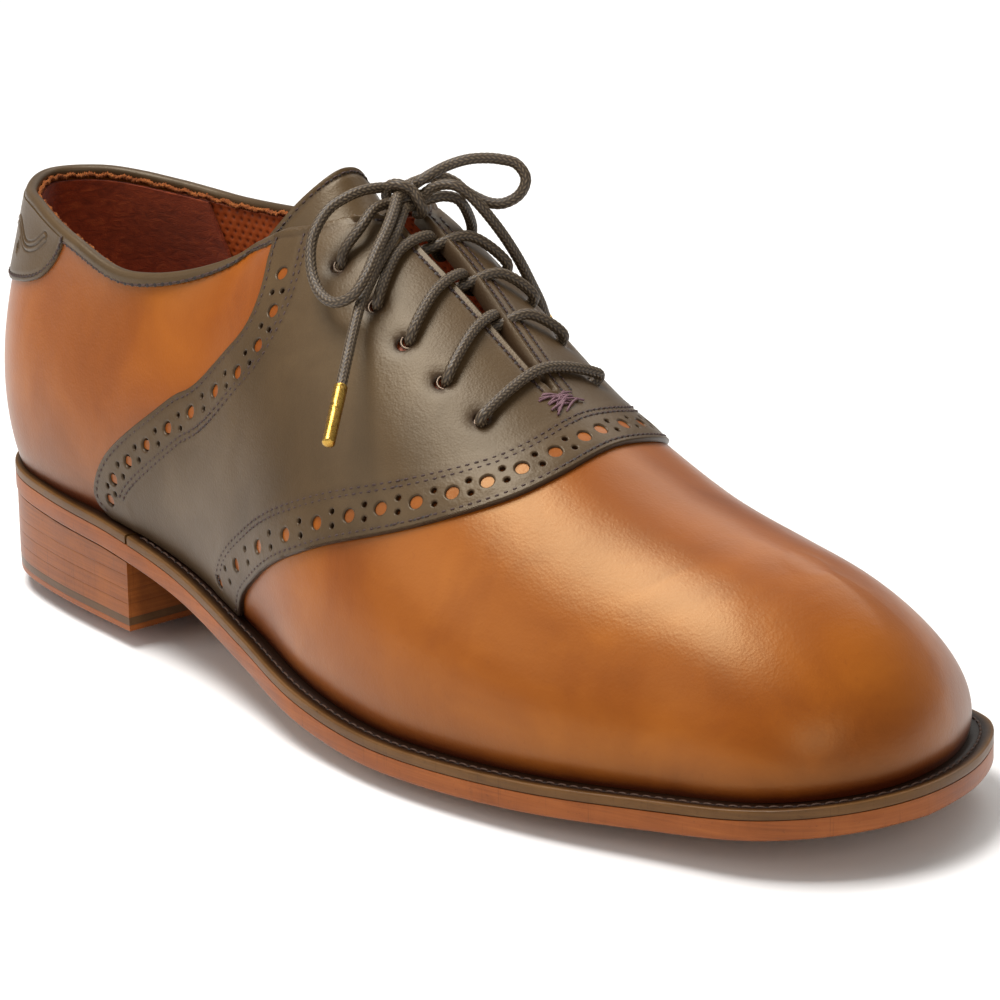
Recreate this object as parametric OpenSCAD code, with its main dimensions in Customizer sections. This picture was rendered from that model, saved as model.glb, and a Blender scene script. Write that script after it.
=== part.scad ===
// Golf shoe, right foot: saddle oxford upper on a welted leather sole with
// a stacked leather heel and eleven quarter-turn cleats.
// +X points to the toe, -Y is the outer (lateral) side, +Z is up.

/* [Sole] */
// Length of the outsole
shoe_length = 305; // [299:1:311]
// Height of the heel block at its back
heel_height = 20; // [18:1:23]
// Rise of the outsole at the toe
toe_spring = 6.5; // [4:0.5:9]
// Thickness of the leather outsole
outsole_t = 4.8; // [4.4:0.1:5.4]
// Thickness of the welt strip
welt_t = 2.3; // [2.1:0.1:2.8]

/* [Upper] */
// Thickness of the tan upper leather
leather_t = 1.3; // [1.1:0.1:1.4]
// Thickness of the saddle leather
saddle_t = 1.2; // [1:0.1:1.5]
// Thickness of the lining leather
lining_t = 0.9; // [0.7:0.1:1]

/* [Lace] */
// Diameter of the round waxed lace
lace_d = 2.6; // [2.2:0.1:2.8]
// Length of each metal lace tip
aglet_length = 17; // [14:1:20]

/* [Cleats] */
// Diameter of a cleat
cleat_d = 19; // [17:1:20]
// Height of a cleat below the sole
cleat_h = 4.5; // [4:0.5:5]
// Diameter of the cleat's locking stem
stem_d = 7; // [6:0.5:8]

/* [Hidden] */

tan_leather = [0.67, 0.37, 0.17];
taupe = [0.41, 0.34, 0.26];
oxblood = [0.36, 0.13, 0.07];
heel_brown = [0.62, 0.33, 0.17];
dark_edge = [0.30, 0.19, 0.11];
lining_tan = [0.6, 0.26, 0.05];
lace_brown = [0.29, 0.25, 0.2];
cleat_grey = [0.2, 0.2, 0.2];

// ---- The last: stations around the shoe, 0 at the heel back, 1 to 12 along
// the lateral side, 13 at the toe tip and 14 to 25 back along the medial side.

// Outsole edge: x, y and how far the sole stands out past the upper
sole_ring = [
    [0, 0, 1.5], [5, -17, 1.5], [18, -28.5, 1.8], [40, -34, 2.5], [70, -37, 4],
    [100, -39, 5], [130, -44.5, 5.5], [160, -51, 5.5], [195, -53, 5.5],
    [230, -48, 5.5], [262, -38, 5.5], [287, -28.5, 5.5], [301, -13, 5.5],
    [305, 7, 5.5], [298, 30, 5.5], [281, 50, 5.5], [256, 55.5, 5.5],
    [225, 54.5, 5.5], [195, 50, 5.5], [165, 42, 5], [135, 37.5, 4.5],
    [105, 34, 4], [70, 34.5, 3.5], [40, 33, 2.5], [18, 27.5, 1.8], [5, 16, 1.5]
];
// Top line at the back, facing edge at stations 6 to 8, then the ridge
top_ring = [
    [-3, 0, 94.5], [8, -14, 94.5], [24, -22.5, 94.5], [45, -27.5, 90.5],
    [70, -27.5, 86], [98, -18, 94], [119, -0.5, 113], [153, -1.5, 100.5],
    [193, -1.5, 78], [220, -0.5, 65], [242, 3.5, 58], [255.5, 7, 55],
    [262, 9, 53.8], [264, 10, 53.4], [262, 9, 53.8], [255.5, 7, 55],
    [242, 3.5, 58], [220, -0.5, 65], [193, -1.5, 78], [153, 4.5, 100.5],
    [119, 8, 113], [94, 21.5, 98], [68, 29, 91.5], [41, 29.5, 89.5],
    [20, 24, 91.5], [4, 14, 94]
];
// Curve handles of each rib: out and up at the foot, out and down at the top,
// and the slope of the ridge
handle_ring = [
    [7, 29, 4.5, 21.5, 0], [8, 28, 5, 21.5, 0], [8.5, 25, 3, 20.5, 0],
    [7.5, 23.5, 0, 18, 0], [7.5, 22, 0.5, 17.5, 0], [9, 24, 12, 16, -0.1],
    [12, 28, 27, 8, -0.35], [13, 26, 31.5, 5.5, -0.45], [12, 24, 33.5, 2.5, -0.5],
    [10, 22, 30.5, 0.5, -0.4], [8, 20, 26, 0, -0.28], [7, 18, 24, 0, -0.25],
    [6, 18, 22, 0, -0.25], [5.5, 17.5, 21.5, 0, -0.25], [4.5, 16.5, 21, 0, -0.25],
    [4.5, 16, 22.5, 0, -0.25], [6.5, 19, 25, 0, -0.28], [9, 19.5, 29.5, 0.5, -0.4],
    [10, 23, 33.5, 2.5, -0.5], [9, 28.5, 31.5, 5.5, -0.45], [6.5, 33, 27, 8, -0.35],
    [5.5, 29, 12, 16.5, -0.1], [6, 24.5, 0, 18, 0], [6, 24, 0, 18, 0],
    [6, 26, 2, 20, 0], [7, 29.5, 3.5, 21.5, 0]
];
STATIONS = 26;
TOE = 13;
THROAT = 8;
ball_x = 192;          // where the sole touches lowest
seat_x = 60;           // front of the level heel seat
base_length = 305;     // length that the stations are written for
stretch = shoe_length / base_length;
heel_overhang = 7;     // the upper's bulge behind the sole
mid_x = (shoe_length - heel_overhang) / 2;
mid_y = 1.2;
stack_t = outsole_t + welt_t;
gap = 0.3;             // air between neighbouring layers
lace_r = lace_d / 2;

// Shapes are written with the heel back at x = 0 and the sole's lowest plane
// at z = 0; this puts them in the part's frame, standing on the cleats.
module piece(c) {
    color(c) translate([-mid_x, -mid_y, cleat_h]) children();
}

function spline(tab, u) =
    let (n = len(tab), k = floor(u), f = u - k,
         a = tab[(k - 1 + n) % n], b = tab[(k + n) % n],
         c = tab[(k + 1 + n) % n], d = tab[(k + 2 + n) % n])
    0.5 * (2 * b + (c - a) * f + (2 * a - 5 * b + 4 * c - d) * f * f
           + (3 * b - a - 3 * c + d) * f * f * f);

function unit(v) = v / norm(v);
function clamp(x, lo, hi) = max(lo, min(hi, x));

// Underside of the outsole: heel seat, a smooth fall to the ball, toe spring
function sole_z(x) =
    let (s = clamp(x / stretch, 0, base_length),
         u = clamp((s - seat_x) / (ball_x - seat_x), 0, 1),
         w = clamp((s - ball_x) / (base_length - ball_x), 0, 1))
    (s < ball_x ? (heel_height + 1 - s / 30) * (1 - u * u * (3 - 2 * u)) : 0)
    + toe_spring * w * w;

function stretched(p) = [p[0] * stretch, p[1], p[2]];
function edge_pt(u) = stretched(spline(sole_ring, u));
function edge_dir(u) =
    let (d = edge_pt(u + 0.01) - edge_pt(u - 0.01)) unit([d[1], -d[0], 0]);

// A point of the outsole edge, moved inwards by inset
function inset_pt(u, inset, z) =
    let (p = edge_pt(u), q = [p[0], p[1], 0] - inset * edge_dir(u))
    [q[0], q[1], sole_z(q[0]) + z];

// Top edge of a rib; both sides share the ridge in front of the throat
function top_pt(u) =
    let (a = spline(top_ring, u), b = spline(top_ring, STATIONS - u),
         p = u >= THROAT && u <= STATIONS - THROAT ? (a + b) / 2 : a)
    [p[0] * stretch, p[1], p[2]];

// The four control points of the rib at u
function rib(u) =
    let (p = edge_pt(u), n = edge_dir(u), h = spline(handle_ring, u),
         foot = inset_pt(u, p[2], stack_t), top = top_pt(u))
    [foot, foot + h[0] * n + [0, 0, h[1]],
     top + h[2] * n + [0, 0, h[4] * h[2] * n[0] - h[3]], top];

function bezier(c, v) =
    let (w = 1 - v)
    w * w * w * c[0] + 3 * w * w * v * c[1] + 3 * w * v * v * c[2] + v * v * v * c[3];

// Outward normal of the last at (u, v)
function last_normal(u, v) =
    let (t = min(v, 0.985), e = 0.01,
         du = bezier(rib(u + e), t) - bezier(rib(u - e), t),
         c = rib(u), dv = bezier(c, t + e) - bezier(c, t - e))
    unit(cross(du, dv));

// A point at distance d outside the last's surface
function last_pt(u, v, d) = bezier(rib(u), v) + d * last_normal(u, v);

// ---- Leather panels: closed shells over a patch of the last

function steps(n) = [for (i = [0:n]) i / n];
function lerp(a, b, t) = a + (b - a) * t;
function tri_pair(a, b, c, d, flip) = flip ? [[a, b, c], [a, c, d]] : [[a, c, b], [a, d, c]];

// One side's patch between two edges, each a function of v giving u
function patch(back, front, ss, vs) =
    [for (s = ss) [for (v = vs) [lerp(back(v), front(v), s), v]]];
function mirrored(uv) =
    [for (column = uv) [for (q = column) [STATIONS - q[0], q[1]]]];

// Points of one face of a patch, with a turned-in lasting margin below it
function face_points(uv, d, margin, lift) =
    [for (column = uv) each concat(
        margin > 0 ? [inset_pt(column[0][0], edge_pt(column[0][0])[2] + margin, stack_t + lift)] : [],
        [for (j = [0:len(column) - 1])
            let (q = column[j])
            margin > 0 && j == 0
                ? inset_pt(q[0], edge_pt(q[0])[2] + lift, stack_t + lift)
                : last_pt(q[0], q[1], d)])];

// A panel from d_in to d_out. wings holds one side's patch, or both sides';
// two wings share the top row from column ridge_from on, and their front or
// back column where front or back is true.
module panel(wings, d_out, d_in, margin = 0, ridge_from = 999, front = false, back = false) {
    uv = wings[0];
    n = len(uv) - 1;
    m = len(uv[0]) - 1 + (margin > 0 ? 1 : 0);
    count = (n + 1) * (m + 1);
    faces_in = len(wings) * count;
    thickness = d_out - d_in;
    shared = function (i, j)
        (j == m && i >= ridge_from) || (front && i == n) || (back && i == 0);
    id = function (w, i, j) (w == 1 && !shared(i, j) ? count : 0) + i * (m + 1) + j;
    outer = [for (w = wings) each face_points(w, d_out, margin, 0)];
    inner = [for (w = wings) each face_points(w, d_in, margin, thickness)];
    faces = [for (w = [0:len(wings) - 1]) each
        let (o = function (i, j) id(w, i, j), k = function (i, j) faces_in + id(w, i, j),
             flip = w == 1, merged_top = function (i) w >= 0 && len(wings) > 1 && i >= ridge_from)
        concat(
            [for (i = [0:n - 1], j = [0:m - 1]) each
                tri_pair(o(i, j), o(i + 1, j), o(i + 1, j + 1), o(i, j + 1), flip)],
            [for (i = [0:n - 1], j = [0:m - 1]) each
                tri_pair(k(i, j), k(i + 1, j), k(i + 1, j + 1), k(i, j + 1), !flip)],
            [for (i = [0:n - 1]) each
                tri_pair(o(i + 1, 0), o(i, 0), k(i, 0), k(i + 1, 0), flip)],
            [for (i = [0:n - 1]) if (!merged_top(i)) each
                tri_pair(o(i, m), o(i + 1, m), k(i + 1, m), k(i, m), flip)],
            back ? [] : [for (j = [0:m - 1]) each
                tri_pair(o(0, j), o(0, j + 1), k(0, j + 1), k(0, j), flip)],
            front ? [] : [for (j = [0:m - 1]) each
                tri_pair(o(n, j + 1), o(n, j), k(n, j), k(n, j + 1), flip)])];
    polyhedron(concat(outer, inner), faces);
}

// Seams of the saddle on the last, as u against v
function seam(tab, v) = lookup(v, tab);
rear_seam = [
    [0, 3.8], [0.06, 3.65], [0.15, 3.7], [0.26, 3.9], [0.42, 4.3], [0.52, 4.75],
    [0.58, 5.2], [0.64, 5.6], [0.72, 5.75], [0.8, 5.75], [1, 5.75]
];
front_seam = [
    [0, 5.85], [0.08, 5.9], [0.17, 6.25], [0.26, 6.7], [0.35, 7.15], [0.44, 7.55],
    [0.54, 7.9], [0.66, 8.25], [0.76, 8.43], [0.88, 8.58], [1, 8.65]
];
// Top edge behind the facings, as v against u: it dips from the collar, then
// climbs to the facing's corner
notch = [
    [5.2, 1], [5.4, 0.915], [5.6, 0.855], [5.8, 0.815], [6, 0.81], [6.3, 0.855],
    [6.42, 0.9], [6.5, 0.95], [6.58, 1]
];
saddle_gap = 0.5;      // saddle's underside above the tan leather
under_lap = 0.45;      // how far the tan leather runs under the saddle
stiff_in = -leather_t - gap - 1;
lining_out = stiff_in - gap;
lining_in = lining_out - lining_t;
margin_w = 12;         // lasting margin turned in under the insole

function top_v(u) = lookup(min(u, STATIONS - u), notch);
function notched(uv) = [for (column = uv) [for (q = column) [q[0], q[1] * top_v(q[0])]]];
function rear_edge(v) = seam(rear_seam, v);
function front_edge(v) = seam(front_seam, v);
function rows(from, to, n) = [for (t = steps(n)) lerp(from, to, t)];

module vamp() {
    uv = patch(function (v) front_edge(v) - under_lap, function (v) TOE, steps(17), steps(10));
    piece(tan_leather)
        panel([uv, mirrored(uv)], 0, -leather_t, margin = margin_w, ridge_from = 0, front = true);
}

module vamp_lining() {
    uv = patch(function (v) lerp(6.2, 8.2, v), function (v) TOE, steps(13), rows(0.12, 1, 8));
    piece(oxblood)
        panel([uv, mirrored(uv)], lining_out, lining_in, ridge_from = 0, front = true);
}

module toe_puff() {
    uv = patch(function (v) 10.4 + 0.5 * v, function (v) TOE, steps(7), rows(0.1, 1, 7));
    piece(taupe)
        panel([uv, mirrored(uv)], -leather_t - gap, stiff_in, ridge_from = 0, front = true);
}

quarter_top = 0.95;    // the binding closes over the edge above this
quarter_lap = 0.35;    // how far the quarter runs under the saddle
function quarter_patch() =
    notched(patch(function (v) 0.02, function (v) rear_edge(v) + quarter_lap,
                  steps(14), rows(0, quarter_top, 8)));

module quarter_lateral() {
    piece(tan_leather)
        panel([quarter_patch()], 0, -leather_t, margin = margin_w);
}

module quarter_medial() {
    piece(tan_leather)
        mirror_panel(quarter_patch(), 0, -leather_t, margin_w);
}

// A single panel on the medial side
module mirror_panel(uv, d_out, d_in, margin = 0) {
    flipped = [for (i = [len(uv) - 1:-1:0]) mirrored(uv)[i]];
    panel([flipped], d_out, d_in, margin);
}

function quarter_lining_patch() =
    notched(patch(function (v) 2.2, function (v) 6.05 + 1.85 * v, steps(14),
                  rows(0.12, quarter_top, 8)));

module quarter_lining_lateral() {
    piece(lining_tan)
        panel([quarter_lining_patch()], lining_out, lining_in);
}

module quarter_lining_medial() {
    piece(lining_tan)
        mirror_panel(quarter_lining_patch(), lining_out, lining_in);
}

module heel_counter() {
    uv = patch(function (v) 0, function (v) 3.3 - 0.6 * v, steps(10), rows(0.06, 0.62, 7));
    piece(taupe)
        panel([uv, mirrored(uv)], -leather_t - 2 * gap, stiff_in, back = true);
}

module heel_grip() {
    uv = patch(function (v) 0, function (v) 2.12, steps(6), rows(0.12, quarter_top, 7));
    piece(oxblood)
        panel([uv, mirrored(uv)], lining_out, lining_in, back = true);
}

module heel_tab() {
    uv = patch(function (v) 0, function (v) 2.75 - 0.9 * pow((quarter_top - v) / 0.255, 2),
               steps(7), rows(0.7, quarter_top, 5));
    piece(taupe)
        panel([uv, mirrored(uv)], saddle_gap + saddle_t, saddle_gap, back = true);
}

saddle_throat = 0.8;   // share of the top edge behind the throat
saddle_foot_v = 0.014; // the saddle's lower edge stands just clear of the welt
module saddle() {
    ss = [0, 0.06, 0.12, 0.18, 0.24, 0.29, 0.36, 0.48, 0.6, 0.7, 0.8, 0.87, 0.94, 1];
    vs = [0, 0.06, 0.12, 0.2, 0.3, 0.4, 0.5, 0.58, 0.65, 0.72, 0.79, 0.86, 0.93, 1];
    uv = notched([for (s = ss) [for (v = vs)
        let (u = lerp(rear_edge(v), front_edge(v), s))
        [v == 1 && s == saddle_throat ? THROAT + 0.1 : u, max(v, saddle_foot_v)]]]);
    piece(taupe)
        panel([uv, mirrored(uv)], saddle_gap + saddle_t, saddle_gap, ridge_from = 10);
}

stay_out = -0.9;       // the stays' outer face, clear below the saddle
function stay_patch() =
    patch(function (v) 6.6, function (v) 7.95, steps(8), rows(0.74, 0.97, 5));

module facing_stay_lateral() {
    piece(taupe) panel([stay_patch()], stay_out, lining_out + gap);
}

module facing_stay_medial() {
    piece(taupe) mirror_panel(stay_patch(), stay_out, lining_out + gap);
}

// ---- Eyelets and lace

eyelet_us = [6.62, 7, 7.3, 7.6, 7.91];   // top to bottom
eyelet_v = 0.815;
ring_d = 5.6;
EYELETS = len(eyelet_us);
function eyelet_u(i, side) = side > 0 ? STATIONS - eyelet_us[i] : eyelet_us[i];

// Turns +Z to the direction n
module along(n) {
    rotate([0, acos(n[2]), atan2(n[1], n[0])]) children();
}

module eyelet_rings() {
    piece("dimgray")
        for (side = [-1, 1], i = [0:EYELETS - 1]) {
            u = eyelet_u(i, side);
            translate(last_pt(u, eyelet_v, lining_in - ring_depth)) along(last_normal(u, eyelet_v)) {
                difference() {
                    cylinder(d = ring_d, h = 0.6, $fn = 32);
                    translate([0, 0, -1]) cylinder(d = lace_d + 0.6, h = 3, $fn = 32);
                }
            }
        }
}

module throat_bar_tack() {
    piece([0.32, 0.2, 0.25])
        for (k = [-1, 1])
            translate(last_pt(THROAT + 0.12, 1, saddle_gap + saddle_t + 0.8) + [1.4 * k, 0, -0.7 * k])
                rotate([90, 0, 0]) cylinder(d = 0.9, h = 9, center = true, $fn = 16);
}

// Closed tube of radius r along points, as one polyhedron
function tube_dir(p, i) = unit(p[min(i + 1, len(p) - 1)] - p[max(i - 1, 0)]);
function carried(side, t) = unit(side - (side * t) * t);
function tube_sides(p, i, side) =
    i == len(p) ? [] :
    let (s = carried(side, tube_dir(p, i))) concat([s], tube_sides(p, i + 1, s));

module tube(points, r, sides = 8) {
    n = len(points);
    start = abs(tube_dir(points, 0)[2]) > 0.9 ? [1, 0, 0] : [0, 0, 1];
    frames = tube_sides(points, 0, start);
    rings = [for (i = [0:n - 1])
        let (a = frames[i], b = cross(tube_dir(points, i), a))
        each [for (k = [0:sides - 1])
            points[i] + r * (cos(360 * k / sides) * a + sin(360 * k / sides) * b)]];
    walls = [for (i = [0:n - 2], k = [0:sides - 1])
        let (a = i * sides + k, b = i * sides + (k + 1) % sides)
        each [[a, b + sides, b], [a, a + sides, b + sides]]];
    caps = [for (k = [1:sides - 2]) each
        [[0, k, k + 1], [(n - 1) * sides, (n - 1) * sides + k + 1, (n - 1) * sides + k]]];
    polyhedron(concat(rings, [points[0], points[n - 1]]), concat(walls, caps));
}

over = saddle_gap + saddle_t + lace_r + 0.3;     // lace lying on a facing
ring_depth = 0.9;                                // eyelet rings behind the lining
under = lining_in - ring_depth - lace_r;         // lace behind a facing
facing_v = 0.93;

// From one side's eyelet over its facing, across and under the other facing
function crossing(i, side) =
    let (a = eyelet_u(i, side), b = eyelet_u(i - 1, -side), mid = (eyelet_us[i] + eyelet_us[i - 1]) / 2,
         near_u = side > 0 ? STATIONS - mid - 0.06 : mid + 0.06,
         far_u = side > 0 ? mid - 0.06 : STATIONS - mid + 0.06)
    [last_pt(a, eyelet_v, -1), last_pt(a, eyelet_v + 0.02, over),
     last_pt(near_u, facing_v, over),
     (top_pt(mid) + top_pt(STATIONS - mid)) / 2 + [0, 0, side > 0 ? -1.9 : 1.2],
     last_pt(far_u, facing_v, under), last_pt(b, eyelet_v + 0.02, under)];

function half_lace(side) =
    concat(
        [last_pt(eyelet_u(4, side), eyelet_v + 0.01, over),
         last_pt(eyelet_u(4, side), eyelet_v, -1),
         last_pt(eyelet_u(4, side), eyelet_v + 0.02, under),
         (top_pt(7.75) + top_pt(STATIONS - 7.75)) / 2 + [0, 0, under - (side > 0 ? 3 : 0)],
         last_pt(eyelet_u(3, -side), eyelet_v + 0.02, under)],
        crossing(3, -side), crossing(2, side), crossing(1, -side),
        [last_pt(eyelet_u(0, side), eyelet_v, -1), last_pt(eyelet_u(0, side), eyelet_v + 0.02, over)]);

knot = [138.5, 1.7, 113.5];

// The held lace: knot, down one side, the straight bar, up the other, knot
module lace() {
    lateral = half_lace(-1);
    medial = half_lace(1);
    bar = (top_pt(7.9) + top_pt(STATIONS - 7.9)) / 2 + [0, 0, over + 0.1];
    path = concat(
        [[137, -2.5, 112], [137.5, -7, 111.5], [139, -12, 108.5]],
        [for (i = [len(lateral) - 1:-1:0]) lateral[i]], [bar], medial,
        [[142, 15.5, 110], [141, 11.5, 112], [139, 7, 111.5]]);
    piece(lace_brown) tube(path, lace_r);
}

module lace_knot() {
    piece(lace_brown) translate(knot) hull() {
        translate([-0.5, -2.7, -0.2]) sphere(r = 3.4, $fn = 16);
        translate([0.5, 2.8, 0.3]) sphere(r = 3.4, $fn = 16);
    }
}

bow_lateral = [
    [135.5, 0, 115], [135, -3.5, 115.5], [134.5, -8, 115.5], [134, -12.5, 114.5],
    [133.5, -17, 112.5], [134, -21, 109], [135.5, -24, 105], [139, -26.5, 100],
    [144, -28, 96.5], [149, -28, 95.5], [153, -26, 97.5], [153, -22, 101.5],
    [150.5, -17, 105.5], [147, -11, 109], [143.5, -6, 112], [140.5, -2.5, 114]
];
bow_medial = [
    [139.5, 4, 116], [141, 7.5, 118], [142, 12, 119.5], [144, 16, 120.5],
    [146, 20, 120.5], [148, 23, 120], [150, 25.5, 119], [152, 26.5, 116.5],
    [152.5, 26, 114], [151.5, 24.5, 111.5], [149.5, 22, 110], [147, 20, 110],
    [144, 18.5, 111], [141.5, 17, 112.5], [139.5, 15.5, 114.5], [138, 12.5, 116],
    [137, 9, 116], [136.5, 6, 115.5]
];
end_lateral = [
    [140.5, 0, 111.5], [143, -3.5, 109.5], [146, -7.5, 107.5], [148, -12, 104.5],
    [150, -17.5, 100], [153, -23.5, 95.5], [157.5, -29.5, 91], [162.5, -35.5, 86.5],
    [167, -41, 82]
];
end_medial = [
    [140.5, 5.5, 113.5], [143, 7.5, 115.5], [146.5, 9.5, 116], [148.5, 12, 114],
    [150.5, 15, 110], [152, 19.5, 103.5], [152.5, 24, 96.5], [152, 28, 90],
    [151.5, 31, 85], [150.5, 33.5, 80.5]
];

module bow_loop_lateral() {
    piece(lace_brown) tube(bow_lateral, lace_r);
}

module bow_loop_medial() {
    piece(lace_brown) tube(bow_medial, lace_r);
}

module lace_end_lateral() {
    piece(lace_brown) tube(end_lateral, lace_r);
}

module lace_end_medial() {
    piece(lace_brown) tube(end_medial, lace_r);
}

// A lace tip from the end of a cord along its last run
module aglet(route) {
    tip = route[len(route) - 1];
    dir = unit(tip - route[len(route) - 2]);
    piece([0.7, 0.55, 0.16]) translate(tip) along(dir)
        cylinder(d1 = lace_d + 0.5, d2 = lace_d + 0.3, h = aglet_length, $fn = 32);
}

module aglet_lateral() { aglet(end_lateral); }
module aglet_medial() { aglet(end_medial); }

// ---- Tongue: cross-sections from its stitched base to its rounded top,
// as x, y, z of the middle, half width, fall at the edge, and pull back
tongue_sections = [
    [194, -1, 68, 11, 4, 0], [180, -0.5, 73.5, 13, 5, 0], [165, 0.5, 79.5, 15, 7, 0],
    [150, 2, 87, 17, 9, 1], [135, 3, 95.5, 18.5, 12, 3], [121, 4.5, 105, 19, 15.5, 8],
    [111, 6, 115, 17, 19.5, 13.5]
];
tongue_far_edge = [[0, 1], [0.6, 0.9], [1, 0.5]];
tongue_leather = 1.3;
tongue_lining_t = 1;

function tongue_pt(a, i, drop) =
    let (s = tongue_sections[i])
    [s[0] - s[5] * a * a, s[1] + s[3] * a, s[2] - s[4] * a * a - drop];

module tongue_sheet(drop, t) {
    n = len(tongue_sections) - 1;
    across = 8;
    grid = function (d) [for (i = [n:-1:0]) each
        [for (k = [0:across])
            tongue_pt(lerp(-1, lookup(i / n, tongue_far_edge), k / across), i, d)]];
    w = across + 1;
    count = w * (n + 1);
    faces = [for (i = [0:n - 1]) each concat(
        [for (k = [0:across - 1]) let (a = i * w + k) each
            concat(tri_pair(a, a + w, a + w + 1, a + 1, false),
                   tri_pair(count + a, count + a + w, count + a + w + 1, count + a + 1, true))],
        let (a = i * w, b = i * w + across) concat(
            tri_pair(a + w, a, a + count, a + w + count, false),
            tri_pair(b, b + w, b + w + count, b + count, false)))];
    ends = [for (k = [0:across - 1], e = [0, n * w]) each
        tri_pair(e + k, e + k + 1, e + k + 1 + count, e + k + count, e > 0)];
    polyhedron(concat(grid(drop), grid(drop + t)), concat(faces, ends));
}

module tongue() {
    piece(taupe) tongue_sheet(0, tongue_leather);
}

module tongue_lining() {
    piece(oxblood) tongue_sheet(tongue_leather + 0.1, tongue_lining_t);
}

// Rolled binding round the top line, from facing to facing
module collar_binding() {
    us = concat([for (i = [0:6]) lerp(-6.45, -5.1, i / 6)],
                [for (i = [1:30]) lerp(-5.1, 5.1, i / 30)],
                [for (i = [1:6]) lerp(5.1, 6.45, i / 6)]);
    piece(taupe)
        tube([for (u = us) let (w = (u + STATIONS) % STATIONS)
              last_pt(w, top_v(w) * 0.985, -1.2) + [0, 0, 0.6]], 2.2, 10);
}

// ---- Sole

ball_us = [7.2, 7.6, 8, 8.4, 8.8, 9.15, 9.5, 9.85, 10.2, 10.5, 10.8, 11.3, 11.7, 12.1];
sole_us = concat([0.12, 0.45, 0.8, 1.2, 1.6, 2, 2.5, 3, 3.6, 4.2, 5, 5.8, 6.5, 6.85],
                 ball_us, [12.5, 12.85]);
joint_gap = 0.2;
breast_lateral_u = 4.2;
breast_medial_u = 21.82;

function foot_w(u, foot) = foot ? edge_pt(u)[2] : 0;
function rim(u, inset, z, foot) = inset_pt(u, inset + foot_w(u, foot), z);

function quad(a, b, c, d) = [[a, b, c], [a, c, d]];

// A slab between four matching rows of points: bottom and top edges
module slab(left, right, left_top, right_top) {
    n = len(left) - 1;
    pts = [for (i = [0:n]) each [left[i], right[i], left_top[i], right_top[i]]];
    faces = [for (i = [0:n - 1]) let (a = 4 * i, b = a + 4) each concat(
        quad(a + 2, a + 3, b + 3, b + 2), quad(a, b, b + 1, a + 1),
        quad(a, a + 2, b + 2, b), quad(a + 1, b + 1, b + 3, a + 3))];
    e = 4 * n;
    polyhedron(pts, concat(faces, quad(0, 1, 3, 2), quad(e + 1, e, e + 2, e + 3)));
}

// A layer that follows the sole's underside, inside the outline by inset
module layer(us, inset, z0, z1, foot = false) {
    slab([for (u = us) rim(u, inset, z0, foot)], [for (u = us) rim(STATIONS - u, inset, z0, foot)],
         [for (u = us) rim(u, inset, z1, foot)], [for (u = us) rim(STATIONS - u, inset, z1, foot)]);
}

// A strip along the edge, for welt and rand
module edge_strip(us, w, z0, z1) {
    n = len(us) - 1;
    pts = [for (u = us) let (v = (u + STATIONS) % STATIONS) each
        [rim(v, 0, z0, false), rim(v, 0, z1, false), rim(v, w, z1, false), rim(v, w, z0, false)]];
    e = 4 * n;
    faces = concat(
        [for (i = [0:n - 1], k = [0:3]) each
            quad(4 * i + k, 4 * i + (k + 1) % 4, 4 * i + 4 + (k + 1) % 4, 4 * i + 4 + k)],
        quad(0, 3, 2, 1), quad(e + 3, e, e + 1, e + 2));
    polyhedron(pts, faces);
}

module welt() {
    us = [for (i = [0:44]) lerp(breast_lateral_u + 0.03, breast_medial_u - 0.03, i / 44)];
    piece(dark_edge) edge_strip(us, 13, outsole_t, stack_t - 0.1);
}

module heel_rand() {
    us = [for (i = [0:20]) lerp(breast_medial_u - STATIONS, breast_lateral_u, i / 20)];
    piece(dark_edge) edge_strip(us, 10, outsole_t, stack_t - 0.1);
}

module cork_filler() {
    piece([0.6, 0.45, 0.3]) layer(ball_us, 19, outsole_t, stack_t + leather_t - 0.1);
}

module steel_shank() {
    xs = [46, 60, 75, 90, 105, 120, 135, 148];
    piece("silver") slab(
        [for (x = xs) [x * stretch, -6, sole_z(x * stretch) + outsole_t + 0.2]],
        [for (x = xs) [x * stretch, 7, sole_z(x * stretch) + outsole_t + 0.2]],
        [for (x = xs) [x * stretch, -6, sole_z(x * stretch) + outsole_t + 1.4]],
        [for (x = xs) [x * stretch, 7, sole_z(x * stretch) + outsole_t + 1.4]]);
}

insole_t = 2.5;
sock_t = 1.2;
insole_z = stack_t + leather_t + gap;

module insole() {
    piece([0.75, 0.6, 0.42]) layer(sole_us, 3, insole_z, insole_z + insole_t, foot = true);
}

module sock_liner() {
    piece(oxblood) layer(sole_us, 4.6, insole_z + insole_t + 0.2, insole_z + insole_t + 0.2 + sock_t, foot = true);
}

// ---- Cleats and their receptacles: x, y under the outsole and the heel
forefoot_cleats = [[170, -24], [170, 20], [206, -29], [206, 31], [240, -20], [240, 34], [272, 10]];
heel_cleats = [[20, -13], [20, 13], [56, -19], [56, 19]];
receptacle_d = 12;
receptacle_h = 4.1;
stem_h = 3.6;
cleat_gap = 0.3;       // between the cleat's disc and the sole
LEGS = 6;

function slope_at(x) = (sole_z(x + 1) - sole_z(x - 1)) / 2;

module at_forefoot(i) {
    x = forefoot_cleats[i][0] * stretch;
    translate([x, forefoot_cleats[i][1], sole_z(x)]) rotate([0, -atan(slope_at(x)), 0]) children();
}

module at_heel(i) {
    translate([heel_cleats[i][0] * stretch, heel_cleats[i][1], 0]) children();
}

module receptacle() {
    difference() {
        translate([0, 0, 0.1]) cylinder(d = receptacle_d, h = receptacle_h, $fn = 48);
        translate([0, 0, -1]) cylinder(d = stem_d + 0.1, h = stem_h + 1.4, $fn = 48);
    }
}

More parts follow.
